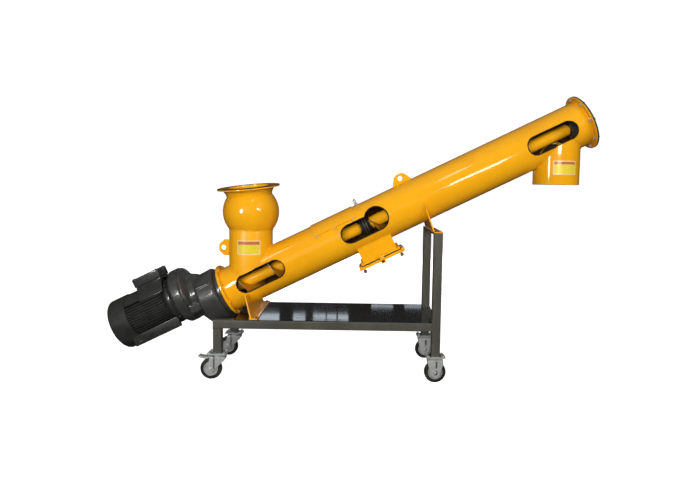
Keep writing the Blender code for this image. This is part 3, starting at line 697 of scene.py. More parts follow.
# %% Rings, cover and their bolts
LOW_FLANGE_R, LOW_FLANGE_T = 0.130, 0.012
HIGH_FLANGE_R, HIGH_FLANGE_T, COVER_T = 0.1345, 0.005, 0.008
CAP_R, CAP_T, HUB_R = 0.055, 0.030, 0.050
SHAFT_END, JOURNAL_R = 1.832, 0.020
BOLT_CIRCLE = 0.1205
for name, outer, low, high in (("lower_flange", LOW_FLANGE_R, 0, LOW_FLANGE_T),
                               ("upper_flange", HIGH_FLANGE_R, TUBE_LENGTH - HIGH_FLANGE_T, TUBE_LENGTH)):
    bm = bmesh.new()
    turn(bm, ring_profile(outer, TUBE_R + GAP, low, high, 0.0018), TUBE @ ALONG, ROUND_SIDES, True)
    dress(solid(name + "_ring", bm), paint, [name])

cover_low = TUBE_LENGTH + GAP
cover_high = cover_low + COVER_T
pocket = cover_high + CAP_T * 0.6
bm = bmesh.new()
turn(bm, eased([(0, cover_high + CAP_T), (CAP_R, cover_high + CAP_T), (CAP_R, cover_high),
                (HIGH_FLANGE_R, cover_high), (HIGH_FLANGE_R, cover_low), (HUB_R, cover_low), (HUB_R, SHAFT_END + 0.006),
                (JOURNAL_R + 0.0005, SHAFT_END + 0.006), (JOURNAL_R + 0.0005, pocket), (0, pocket)],
               0.0025, 3, False), TUBE @ ALONG, 128)
dress(solid("end_cover_plate", bm), iron, ["end_cover"])

bm = bmesh.new()
for a in circle(8):
    y, t = -BOLT_CIRCLE * cos(a), BOLT_CIRCLE * sin(a)
    hex_head(bm, TUBE @ stand((TUBE_LENGTH - HIGH_FLANGE_T, y, t), (-1, 0, 0)), 0.0105, 0.005, True, 0.002)
    hex_head(bm, TUBE @ stand((cover_high, y, t), (1, 0, 0)), 0.012, 0.0055)
for a in circle(4, 0.5):
    cap_head(bm, TUBE @ stand((cover_high + CAP_T, 0.040 * cos(a), 0.040 * sin(a)), (1, 0, 0)), 0.0045, 0.0035)
dress(solid("cover_bolts", bm), zinc)
bm = bmesh.new()
for a in circle(8, 0.5):
    hex_head(bm, TUBE @ stand((LOW_FLANGE_T, -BOLT_CIRCLE * cos(a), BOLT_CIRCLE * sin(a)), (1, 0, 0)), 0.011, 0.0055)
dress(solid("lower_flange_bolts", bm), paint)

# %% [markdown]
# ## The screw
# Two screws in line are welded up from a shaft and a helical blade. A blade is a flat
# strip wound round the shaft: four corner points carried up the axis while they turn.
# Its faces are scoured dull and painted darker as shade, and its rim is bare where it has rubbed along the tube.

# %% Shafts and blades
SCREW_R, SHAFT_R, PITCH, FLIGHT_T = 0.0975, 0.030, 0.165, 0.004
HANGER_S, HANGER_LENGTH = 0.750, 0.050
half_gap = HANGER_LENGTH / 2 + 0.005


def blade(bm, start, end, crossing):
    """Helical strip that crosses the near side of the tube at one named place."""
    steps = round((end - start) / PITCH * 56)
    corners = ((SHAFT_R - 0.003, -1), (SCREW_R - 0.001, -1), (SCREW_R, -0.6), (SCREW_R, 0.6),
               (SCREW_R - 0.001, 1), (SHAFT_R - 0.003, 1))
    rings = []
    for s in between(start, end, steps):
        a = 1.5 * pi + 2 * pi * (s - crossing) / PITCH
        rings.append([bm.verts.new(TUBE @ Vector((s + side * FLIGHT_T / 2, r * sin(a), -r * cos(a))))
                      for r, side in corners])
    for low, high in neighbours(rings, False):
        sleeve(bm, low, high)
    bm.faces.new(rings[0])
    bm.faces.new(rings[-1])


screws = (("lower", [(0, HANGER_S - GAP / 2), (JOURNAL_R, HANGER_S - GAP / 2), (JOURNAL_R, HANGER_S - half_gap),
                     (SHAFT_R, HANGER_S - half_gap), (SHAFT_R, -0.0207), (0, -0.0207)], (0.030, 0.600, 0.0975)),
          ("upper", [(0, pocket - GAP), (JOURNAL_R, pocket - GAP), (JOURNAL_R, SHAFT_END), (SHAFT_R, SHAFT_END),
                     (SHAFT_R, HANGER_S + half_gap), (JOURNAL_R, HANGER_S + half_gap),
                     (JOURNAL_R, HANGER_S + GAP / 2), (0, HANGER_S + GAP / 2)], (0.784, 1.585, 0.790)))
for name, shaft, winding in screws:
    bm = bmesh.new()
    turn(bm, eased(shaft, 0.003, 3, False), TUBE @ ALONG, 72)
    blade(bm, *winding)
    screw = dress(solid(f"screw_{name}_turned", bm), paint, [f"screw_{name}"], "screw")
    # blade faces get the scoured finish with its painted shade; the rim is bare steel
    for finish, inner in ((blade_paint_shaded, SHAFT_R + 0.001), (bolt_steel, SCREW_R - 0.0004)):
        second_finish(screw, finish, lambda centre: off_axis(TO_TUBE, centre) > inner)

# %% [markdown]
# ## The hanger bearing
# Between the two screws a split bearing hangs from the top of the tube. Through the
# middle window it shows as a dark body with a few bright turned ribs.

# %% Hanger with its ribs and stem
bm = bmesh.new()
ribs = 4
profile = [(0.036, -HANGER_LENGTH / 2), (0.0205, -HANGER_LENGTH / 2), (0.0205, HANGER_LENGTH / 2),
           (0.036, HANGER_LENGTH / 2)]
step = HANGER_LENGTH / ribs
for i in range(ribs, 0, -1):
    high = -HANGER_LENGTH / 2 + i * step
    profile += [(0.046, high - step * 0.12), (0.046, high - step * 0.58), (0.0385, high - step * 0.70),
                (0.0385, high - step * 0.96)]
turn(bm, profile, TUBE @ ALONG @ at(0, 0, HANGER_S), 72, True)
slab(bm, (HANGER_S, 0, (0.040 + 0.1022) / 2), (0.030, 0.032, 0.0622), TUBE, 0.003)
hanger = dress(solid("hanger_body", bm), dark_steel, ["hanger_bearing"])


def rib_top(centre):
    place = TO_TUBE @ centre
    return hypot(place.y, place.z) > 0.0455 and HANGER_S - 0.005 < place.x < HANGER_S + 0.020 and place.z < 0.040


second_finish(hanger, machined, rib_top)

# %% [markdown]
# ## Inlet pipe, ball and spout
# Powder drops in through a flanged spout. The spout sits on a ball, so it can be tilted
# to meet the hopper above it, and the ball is welded to an upright pipe. All three are
# turned shapes; the pipe is cut to fit over the slanted tube.

# %% Upright pipes, cut to the tube
def upright(name, x, radius, low, high, window, node, finish):
    bm = bmesh.new()
    turn(bm, ring_profile(radius, radius - PIPE_WALL, low, high, 0.0012), MACHINE @ at(x, 0, 0), ROUND_SIDES, True)
    seat = rod_tool(TUBE @ ALONG, TUBE_R + 2 * GAP, 0, TUBE_LENGTH)
    pipe = carve(solid(name, bm), seat, window_tool(WINDOWS[window]))
    dress(pipe, finish, [node])
    bore = radius - PIPE_WALL + 0.0008
    # the bore faces get the painted shade
    second_finish(pipe, inside, lambda centre: hypot(centre.x - SHIFT - x, centre.y) < bore)


upright("inlet_upright", INLET_X, PIPE_R, FOOT.z + 0.05, SEAM_Z - GAP, "lower", "inlet_pipe", dull_paint)
upright("outlet_upright", OUTLET_X, OUTLET_R, OUTLET_Z, tube_height(OUTLET_X, 0) - 0.1, "upper", "outlet_spout", paint)

# %% Ball and tilting spout
BALL_R, BALL_Z, BALL_WALL, MOUTH_R = 0.136, 0.773, 0.005, 0.095
SPOUT_LEAN, SPOUT_NOD, SPOUT_FLANGE_R, SPOUT_TOP = radians(-5.4), radians(5.0), 0.151, 0.124
BALL = MACHINE @ at(INLET_X, 0, BALL_Z)
SPOUT = BALL @ Matrix.Rotation(SPOUT_LEAN, 4, "Y") @ Matrix.Rotation(SPOUT_NOD, 4, "X")
low, high = -asin((BALL_Z - SEAM_Z) / BALL_R), acos(MOUTH_R / BALL_R)
bm = bmesh.new()
turn(bm, arc(0, 0, BALL_R, high, low, 30) + arc(0, 0, BALL_R - BALL_WALL, low * 0.995, high, 20), BALL,
     ROUND_SIDES, True)
ball = dress(solid("ball_socket", bm), paint, ["inlet_ball"], angle=40)
# the inner faces of the ball get the painted shade
second_finish(ball, inside, lambda centre: (centre - BALL.translation).length < BALL_R - BALL_WALL / 2)

seat, waist, throat_r, rim_t, fillet, face_band = BALL_R + 0.0006, 0.1085, 0.098, 0.008, 0.020, 0.010
throat_z, waist_z = sqrt(seat ** 2 - throat_r ** 2), sqrt(seat ** 2 - waist ** 2)
profile = eased([(SPOUT_FLANGE_R, SPOUT_TOP - rim_t), (SPOUT_FLANGE_R, SPOUT_TOP),
                 (SPOUT_FLANGE_R - face_band, SPOUT_TOP), (throat_r, SPOUT_TOP), (throat_r, throat_z),
                 (waist, waist_z)], 0.0022, 3, False)
flare = 0.050
profile += [(waist + fillet * k ** 2.4, SPOUT_TOP - rim_t - flare * (1 - k)) for k in between(0, 1, 12)]
bm = bmesh.new()
turn(bm, profile, SPOUT, ROUND_SIDES, True)
spout = dress(solid("tilting_spout", bm), paint, ["inlet_spout"])
TO_SPOUT = SPOUT.inverted()


def flange_face(centre):
    place = TO_SPOUT @ centre
    return place.z > SPOUT_TOP - 0.0025 and hypot(place.x, place.y) > SPOUT_FLANGE_R - face_band


second_finish(spout, trim_rubber, flange_face)

# %% [markdown]
# ## Welds
# Wherever a pipe or plate meets the tube there is a weld, ground down a little and
# painted over. A bead whose width ripples slightly follows each joint. For the pipes,
# its height is where an upright line meets the slanted tube.


# %% Weld beads
def joint_path(x, radius, side, steps=120):
    flat = [(x + radius * cos(a), radius * sin(a)) for a in circle(steps)]
    return [MACHINE @ Vector((px, py, tube_height(px, py, side))) for px, py in flat]


def outside_windows(points):
    """Runs of a path that stay clear of the view windows."""
    runs, run = [], []
    for point in points + points[:1]:
        place = TO_TUBE @ point
        in_window = place.y < 0 and abs(place.z) < WINDOW_HALF + 0.008 and (
            LOW_WINDOW[0] - 0.008 < place.x < LOW_WINDOW[1] + 0.008
            or HIGH_WINDOW[0] - 0.008 < place.x < HIGH_WINDOW[1] + 0.008)
        if in_window:
            runs.append(run)
            run = []
        else:
            run.append(point)
    return [r for r in runs + [run] if len(r) > 3]


WELD_R = 0.0032
bm = bmesh.new()
for x, radius, side in ((INLET_X, PIPE_R, 1), (OUTLET_X, OUTLET_R, -1)):
    for run in outside_windows(joint_path(x, radius + 0.001, side)):
        bead(bm, run, WELD_R, False, 8, 0.25)
seam_ring = [MACHINE @ Vector((INLET_X + PIPE_R * cos(a), PIPE_R * sin(a), SEAM_Z)) for a in circle(120)]
bead(bm, seam_ring, 0.0026, True, 8, 0.3)
for s in (LOW_FLANGE_T, TUBE_LENGTH - HIGH_FLANGE_T):
    inward = 1 if s == LOW_FLANGE_T else -1
    ring = [TUBE @ Vector((s + inward * 0.0008, TUBE_R * cos(a), TUBE_R * sin(a))) for a in circle(120)]
    bead(bm, ring, 0.0030, True, 8, 0.2)
dress(solid("weld_beads", bm), paint, angle=60)

# %% [markdown]
# ## Blank plates on the pipes
# Each upright pipe has a small printed plate stuck to it. It is a thin skin rolled to
# the pipe, split into a border, an upper band and a plain lower field.


# %% Rolled plates
def rolled_plate(name, x, radius, left, right, low, split, high):
    border = 0.0045
    turns = border / radius
    columns = [left, *between(left + turns, right - turns, 14), right]
    rows = [low, low + border, split, split + 0.0015, high - border, high]
    bm = bmesh.new()
    skins = [[[bm.verts.new(MACHINE @ Vector((x + r * sin(a), -r * cos(a), z))) for a in columns] for z in rows]
             for r in (radius + 0.0002, radius + 0.0011)]
    kinds = []
    for grid in skins:
        for j in range(len(rows) - 1):
            for i in range(len(columns) - 1):
                bm.faces.new([grid[j][i], grid[j][i + 1], grid[j + 1][i + 1], grid[j + 1][i]])
                middle = 0 < i < len(columns) - 2
                kinds.append(2 if middle and j == 1 else 1 if middle and j == 3 else 0)
    top, last = len(rows) - 1, len(columns) - 1
    edge = [(j, 0) for j in range(top + 1)] + [(top, i) for i in range(1, last + 1)]
    edge += [(j, last) for j in range(top - 1, -1, -1)] + [(0, i) for i in range(last - 1, 0, -1)]
    for (j, i), (k, m) in neighbours(edge):
        bm.faces.new([skins[0][j][i], skins[0][k][m], skins[1][k][m], skins[1][j][i]])
        kinds.append(0)
    plate = dress(solid(name, bm), plate_border, angle=40)
    for extra in (plate_band, plate_field):
        plate.data.materials.append(extra.material)
    for face, kind in zip(plate.data.polygons, kinds):
        face.material_index = kind


rolled_plate("inlet_plate", INLET_X, PIPE_R, radians(-27), radians(34), 0.5715, 0.618, 0.640)
rolled_plate("outlet_plate", OUTLET_X, OUTLET_R, radians(-27), radians(32), 0.9735, 1.020, 1.039)

# %% [markdown]
# ## Top hatch
# A curved plate closes the inspection opening on top. Small bolts run along both
# straight edges over a thin rubber seal. Just past its upper end, over the hanger
# bearing, a ring bolt stands between two plain bolts.

# %% Curved plate, seal, bolts and ring
def shell(bm, low_r, high_r, start, end, half_angle, steps=40, columns=48, corner=0.010):
    """Curved strip over the top of the tube, with round corners seen from above."""
    low, high = [], []
    for r, grid in ((low_r, low), (high_r, high)):
        for s in between(start, end, steps):
            edge = min(s - start, end - s, corner)
            reach = half_angle - (corner - sqrt(max(corner ** 2 - (corner - edge) ** 2, 0))) / r
            grid.append([bm.verts.new(TUBE @ Vector((s, r * sin(a), r * cos(a))))
                         for a in between(-reach, reach, columns)])
    for grid in (low, high):
        for first, second in neighbours(grid, False):
            for k in range(columns):
                bm.faces.new([first[k], first[k + 1], second[k + 1], second[k]])
    for i in range(steps):
        for k in (0, columns):
            bm.faces.new([low[i][k], low[i + 1][k], high[i + 1][k], high[i][k]])
    for k in range(columns):
        for i in (0, steps):
            bm.faces.new([low[i][k], low[i][k + 1], high[i][k + 1], high[i][k]])


hatch_low = TUBE_R + 2 * GAP
bm = bmesh.new()
shell(bm, hatch_low + 0.0014, hatch_low + HATCH_T, *HATCH, HATCH_HALF_ANGLE)
dress(solid("hatch_plate", bm), paint, ["top_hatch"], angle=40)
bm = bmesh.new()
shell(bm, hatch_low, hatch_low + 0.0013, HATCH[0] + 0.002, HATCH[1] - 0.002, HATCH_HALF_ANGLE - 0.015)
dress(solid("hatch_seal", bm), trim_rubber, angle=40)

HATCH_BOLTS, BOLT_ANGLE = (0.521, 0.6165, 0.711), HATCH_HALF_ANGLE + 0.050
HANGER_BOLTS, RING_S = (0.757, 0.069), 0.753
bm, pads = bmesh.new(), bmesh.new()
for side in (-1, 1):
    y, t = side * sin(BOLT_ANGLE), cos(BOLT_ANGLE)
    for s in HATCH_BOLTS:
        spot = TUBE @ stand((s, side * TUBE_R * sin(BOLT_ANGLE), TUBE_R * t), (0, y, t))
        disc(pads, spot, 0.0085, 0, 0.0040, 0.0008, 28)
        hex_head(bm, spot @ at(0, 0, 0.0038), 0.0080, 0.0040, False)
for side in (-1, 1):
    s, y = HANGER_BOLTS[0], side * HANGER_BOLTS[1]
    t = sqrt(TUBE_R ** 2 - y ** 2)
    hex_head(pads, TUBE @ stand((s, y, t), (0, y, t)), 0.0095, 0.005, True, 0.002)
dress(solid("hatch_pads", pads), paint)
dress(solid("hatch_bolts", bm), zinc)
bm = bmesh.new()
turn(bm, eased([(0, 0), (0.011, 0), (0.011, 0.0035), (0.0055, 0.006), (0.0055, 0.010), (0, 0.010)], 0.001, 2, False),
     TUBE @ at(RING_S, 0, TUBE_R), 24)
loop = [TUBE @ Vector((RING_S + 0.005 * cos(a), 0.0100 * cos(a), TUBE_R + 0.0180 + 0.0100 * sin(a)))
        for a in circle(36)]
bead(bm, loop, 0.0031, True, 10)
dress(solid("hanger_ring_bolt", bm), zinc, angle=50)

# %% [markdown]
# ## Clean-out box and door
# Below the tube a box with a rim catches what stays behind. Four knobs and two clamps
# hold its door. The box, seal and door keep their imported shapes, since they are flat
# plate; the fittings that hold them are added here.

# %% Rim bolts, knobs, clamps and welds
RIM_T, RIM_OUT, GASKET_T, DOOR_T = 0.008, 0.014, 0.005, 0.014
rim_low = BOX_T - RIM_T
door_top = rim_low - 2 * GAP - GASKET_T
door_low = door_top - DOOR_T
edge_y = BOX_HALF_Y + RIM_OUT
bm = bmesh.new()
for s in (BOX[0] - 0.007, BOX[1] + 0.007):
    for y in (-edge_y + 0.009, 0, edge_y - 0.009):
        hex_head(bm, TUBE @ stand((s, y, BOX_T), (0, 0, 1)), 0.0095, 0.005)
dress(solid("rim_bolts", bm), paint)

bm = bmesh.new()
for s in (0.657, 0.851):
    for y in (-edge_y + 0.016, edge_y - 0.016):
        place = TUBE @ stand((s, y, door_low - 0.0015), (0, 0, -1))
        turn(bm, eased([(0, -0.006), (0.0045, -0.006), (0.0045, 0.004), (0.0075, 0.005), (0.0085, 0.010),
                        (0.0085, 0.015), (0.006, 0.018), (0, 0.0185)], 0.0012, 2, False), place, 28)
        disc(bm, place, 0.0095, -0.0015, 0.0005, 0.0004, 24)
dress(solid("door_knobs", bm), brass)

bm = bmesh.new()
bracket_s = 0.757
for centre, size in (((bracket_s, -edge_y - 0.0065, door_top - 0.004), (0.022, 0.004, 0.040)),
                     ((bracket_s, -edge_y - 0.002, rim_low + 0.013), (0.022, 0.012, 0.004)),
                     ((bracket_s, edge_y + 0.0065, door_top - 0.004), (0.022, 0.004, 0.040))):
    slab(bm, centre, size, TUBE, 0.0012)
dress(solid("door_clamps", bm), paint)
bm = bmesh.new()
for side in (-1, 1):
    place = TUBE @ stand((bracket_s - 0.001, side * (edge_y + 0.0085), door_top - 0.014), (0, side, 0))
    hex_head(bm, place, 0.0090, 0.0045, True, 0.002)
dress(solid("clamp_bolts", bm), brass)

seam = bmesh.new()
for side in (-1, 1):
    path = [TUBE @ Vector((s, side * (BOX_HALF_Y + 0.001), -sqrt(TUBE_R ** 2 - BOX_HALF_Y ** 2) - 0.0005))
            for s in between(BOX[0] - 0.001, BOX[1] + 0.001, 30)]
    bead(seam, path, 0.0026, False, 8, 0.25)
for s in (BOX[0] - 0.001, BOX[1] + 0.001):
    path = [TUBE @ Vector((s, y, -sqrt(TUBE_R ** 2 - y ** 2) - 0.0005))
            for y in between(-BOX_HALF_Y, BOX_HALF_Y, 30)]
    bead(seam, path, 0.0026, False, 8, 0.25)
dress(solid("box_welds", seam), paint, angle=60)
for node, finish in (("cleanout_box", paint), ("cleanout_door", paint), ("door_seal", trim_rubber)):
    repaint(node, finish)
print("clean-out dressed")

# %% [markdown]
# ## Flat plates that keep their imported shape
# Lifting eyes, saddles, the top bar and the shelf are plain plate with the right shape
# already. They only need their finish, their welds and the bolts that hold them.

# %% Finishes, welds and bolts on the plates
for node, finish in (("tube_lug", paint), ("inlet_lug", paint), ("saddle_lower", paint), ("saddle_upper", paint),
                     ("top_beam", frame_grey), ("shelf_sheet", sheet)):
    repaint(node, finish)

RAIL_Y, RAIL_TOP, SECTION, SECTION_WALL = 0.185, 0.281, 0.040, 0.003
LEG_X, POST_TOP, LOW_BEAM_X = -0.610, 0.697, -0.445
SADDLE_LEAN, SADDLE_T, FOOT_T = radians(18.5), 0.006, 0.005
PLATE_WELD_R, LUG_WELD_R, TUBE_LUG_S, INLET_LUG_Z = 0.0022, 0.0024, (0.951, 1.053), (0.556, 0.634)
bm = bmesh.new()
bolts = bmesh.new()
for beam_x, half, floor_z, reach in ((LOW_BEAM_X, 0.190, RAIL_TOP + GAP + 0.002, 0.092),
                                     (POST_X, 0.140, POST_TOP, TUBE_R - 0.003)):
    x = beam_x - SECTION / 2 + SADDLE_T
    foot_top = floor_z + GAP + FOOT_T
    for dx in (-SADDLE_T / 2 - 0.001, SADDLE_T / 2 + 0.001):
        path = [MACHINE @ Vector((x + dx, y, foot_top)) for y in between(-half, half, 40)]
        bead(bm, path, PLATE_WELD_R, False, 8, 0.3)
    root = MACHINE @ at(x, 0, foot_top) @ Matrix.Rotation(-SADDLE_LEAN, 4, "Y")
    for dx in (-SADDLE_T / 2 - 0.001, SADDLE_T / 2 + 0.001):
        path = []
        for y in between(-reach, reach, 40):
            t = -sqrt(TUBE_R ** 2 - y ** 2)
            # the plate's plane is cut by the tube's skin at one height for each place across
            base = TO_TUBE @ (root @ Vector((dx, y, 0)))
            up = (TO_TUBE @ (root @ Vector((dx, y, 1)))) - base
            path.append(root @ Vector((dx, y, (t - base.z) / up.z)))
        bead(bm, path, PLATE_WELD_R, False, 8, 0.3)
    for y in (-RAIL_Y, RAIL_Y):
        hex_head(bolts, MACHINE @ at(beam_x + 0.007, y, foot_top), 0.011, 0.005)
dress(solid("saddle_welds", bm), paint, angle=60)
dress(solid("saddle_bolts", bolts), bolt_steel)
bm = bmesh.new()
for side in (-1, 1):
    y = side * 0.0045
    path = [TUBE @ Vector((s, y, TUBE_R + 0.0003)) for s in between(*TUBE_LUG_S, 24)]
    bead(bm, path, LUG_WELD_R, False, 8, 0.3)
    path = [MACHINE @ Vector((INLET_X - PIPE_R - 0.0005, y, z)) for z in between(*INLET_LUG_Z, 20)]
    bead(bm, path, LUG_WELD_R, False, 8, 0.3)
dress(solid("lug_welds", bm), paint, angle=60)

# %% [markdown]
# ## Trolley of square steel section
# Square hollow section has round corners, where the light catches. Each length is
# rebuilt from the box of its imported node, with real corner rounds and an open bore.
# Plastic plugs close the two open ends at the left.

# %% Rounded section lengths
CORNER_R = 0.0055


def section_length(node, axis):
    low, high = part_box(node)
    middle, size = (low + high) / 2, high - low
    place = Matrix.Translation(middle) @ {"X": ALONG, "Y": ACROSS, "Z": Matrix.Identity(4)}[axis]
    end = size["XYZ".index(axis)] / 2
    half, bore = SECTION / 2, SECTION / 2 - SECTION_WALL
    outer = eased(rectangle(half, half), CORNER_R, 5)
    inner = eased(rectangle(bore, bore), CORNER_R - SECTION_WALL * 0.8, 5)
    bm = bmesh.new()
    rings = [[bm.verts.new(place @ Vector((x, y, z))) for x, y in outline]
             for outline, z in ((outer, -end), (outer, end), (inner, end), (inner, -end))]
    for first, second in neighbours(rings):
        sleeve(bm, first, second)
    dress(solid(node + "_section", bm), frame_grey, [node], angle=40)


for node, axis in (("rail_near", "X"), ("rail_far", "X"), ("leg_left_near", "Z"), ("leg_left_far", "Z"),
                   ("post_right_near", "Z"), ("post_right_far", "Z"), ("cross_rail_left", "Y"),
                   ("cross_rail_right", "Y")):
    section_length(node, axis)

bm = bmesh.new()
for side in (-1, 1):
    inner = SECTION / 2 - SECTION_WALL
    slab(bm, (LEG_X - SECTION / 2 + 0.004, side * RAIL_Y, RAIL_TOP - SECTION / 2),
         (0.009, 2 * inner - 0.0004, 2 * inner - 0.0004), MACHINE, 0.002)
dress(solid("rail_end_plugs", bm), trim_rubber, angle=40)


def square_weld(bm, centre, first, second):
    """Bead round a square section that meets another one."""
    half = SECTION / 2 + 0.0004
    corners = eased(rectangle(half, half), CORNER_R, 4)
    path = [MACHINE @ (Vector(centre) + Vector(first) * a + Vector(second) * b)
            for a, b in even_path(corners, 0.004)]
    bead(bm, path, PLATE_WELD_R, True, 8, 0.3)


bm = bmesh.new()
rail_z = RAIL_TOP - SECTION / 2
for side in (-1, 1):
    square_weld(bm, (LEG_X, side * RAIL_Y, RAIL_TOP - SECTION - 0.001), (1, 0, 0), (0, 1, 0))
    square_weld(bm, (POST_X - SECTION / 2 - 0.001, side * RAIL_Y, rail_z), (0, 1, 0), (0, 0, 1))
    for x in (LOW_BEAM_X, POST_X):
        square_weld(bm, (x, side * (RAIL_Y - SECTION / 2 - 0.001), rail_z), (1, 0, 0), (0, 0, 1))
dress(solid("frame_welds", bm), frame_grey, angle=60)

# %% [markdown]
# ## Castors
# Each wheel is a rubber tyre on a pressed hub, in a zinc-plated fork. The left pair
# swivels on a ball race and has a foot brake, the right pair is fixed. The hub turns
# with its wheel, the fork with its swivel, so each goes on its own body.

# %% Sizes of the castors
CASTOR_H, WHEEL_R, WHEEL_W, PLATE_T, PLATE_X, PLATE_Y = 0.125, 0.050, 0.028, 0.005, 0.090, 0.070
FORK_GAP, FORK_T, TRAIL, HEAD_R = 0.006, 0.003, 0.031, 0.031
BRIDGE = WHEEL_R + 0.0055
CHEEK_Y = WHEEL_W / 2 + FORK_GAP + FORK_T / 2
CHANNEL_R = 0.0048
CHANNEL_Y = CHEEK_Y + FORK_T / 2 + CHANNEL_R - 0.0017
SWIVEL_CHANNEL, FIXED_CHANNEL = -0.014, 0.004


def mirrored(half):
    """Whole profile from the half of it on one side."""
    return half + [(r, -z) for r, z in reversed(half)]


def wheel(body, name, centre):
    place = MACHINE @ at(*centre) @ ACROSS
    half = WHEEL_W / 2
    bm = bmesh.new()
    groove = 0.0012
    tread = [(WHEEL_R, 0.0062), (WHEEL_R - groove, 0.0055), (WHEEL_R - groove, 0.0035), (WHEEL_R, 0.0028)]
    flank = eased([(0.0335, half), (0.0440, half), (0.0480, half - 0.0030), (WHEEL_R, half - 0.0085)], 0.002, 3, False)
    turn(bm, mirrored(flank + tread), place, 96, True)
    dress(solid(f"tyre_{name}", bm), tyre_rubber, [f"wheel_{name}"], body, 35)
    bm = bmesh.new()
    face = [(0.0333, 0.0125), (0.0318, 0.0132), (0.0295, 0.0128), (0.0282, 0.0075), (0.0185, 0.0062), (0.0160, 0.0085),
            (0.0145, 0.0138), (0.0068, 0.0138)]
    turn(bm, mirrored(face), place, 72, True)
    dress(solid(f"hub_{name}", bm), zinc, (), body, 30)


def cheeks(bm, place, trail, end, channel, foot):
    """Both sides of a fork, each with an upright pressed channel, a ring and a nut at the axle."""
    top = BRIDGE + 0.0015
    broad = 0.036
    outline = eased([(-broad, top), (-broad, top - 0.012)] + arc(-trail, 0, end, pi * 1.04, pi * 1.96, 22)
                    + [(broad, top - 0.012), (broad, top)], 0.005, 4)
    pair = bmesh.new()
    for side in (-1, 1):
        prism(pair, outline, -FORK_T / 2, FORK_T / 2, place @ at(0, side * CHEEK_Y, 0) @ ACROSS, 0.0009)
    cutters = [rod_tool(place @ at(channel, side * CHANNEL_Y, 0), CHANNEL_R, foot, BRIDGE - 0.004, 20)
               for side in (-1, 1)]
    pair = carve(solid("cheeks", pair), *cutters)
    bm.from_mesh(pair.data)
    bpy.data.objects.remove(pair)
    for side in (-1, 1):
        out = side * (CHEEK_Y + FORK_T / 2)
        spot = place @ stand((-trail, out - side * 0.0003, 0), (0, side, 0))
        turn(bm, eased([(0, 0), (0.0118, 0), (0.0105, 0.0014), (0, 0.0014)], 0.0006, 2, False), spot, 36)
        hex_head(bm, spot @ at(0, 0, 0.0012), 0.0125, 0.0042, True)
    turn(bm, [(0, -CHEEK_Y), (0.0055, -CHEEK_Y), (0.0055, CHEEK_Y), (0, CHEEK_Y)],
         place @ at(-trail, 0, 0) @ ACROSS, 24)
    slab(bm, (0, 0, BRIDGE + 0.0015), (0.072, 2 * (CHEEK_Y + FORK_T / 2), 0.003), place, 0.0014)


def grime_and_shade(fork, place, channel):
    """Painted shade: darker metal on the faces in the channels, where dust also stays."""
    lines = [(place @ at(channel, side * CHANNEL_Y, 0)).inverted() for side in (-1, 1)]
    second_finish(fork, bolt_steel, lambda centre: any(
        hypot((line @ centre).x, (line @ centre).y) < CHANNEL_R + 0.0002 for line in lines))


def top_plate(bm, place, low):
    prism(bm, eased(rectangle(PLATE_X / 2, PLATE_Y / 2), 0.010, 6), low, low + PLATE_T, place, 0.0009)


def plate_bolts(bm, place, high):
    for dx in (-0.034, 0.034):
        for dy in (-0.026, 0.026):
            hex_head(bm, place @ at(dx, dy, high), 0.0095, 0.0045)


def strip(points, thick):
    """Outline of a bent strip from the points of its upper side."""
    lower = []
    for i, p in enumerate(points):
        along = (Vector(points[min(i + 1, len(points) - 1)]) - Vector(points[max(i - 1, 0)])).normalized()
        lower.append((p[0] + along.y * thick, p[1] - along.x * thick))
    return list(points) + lower[::-1]


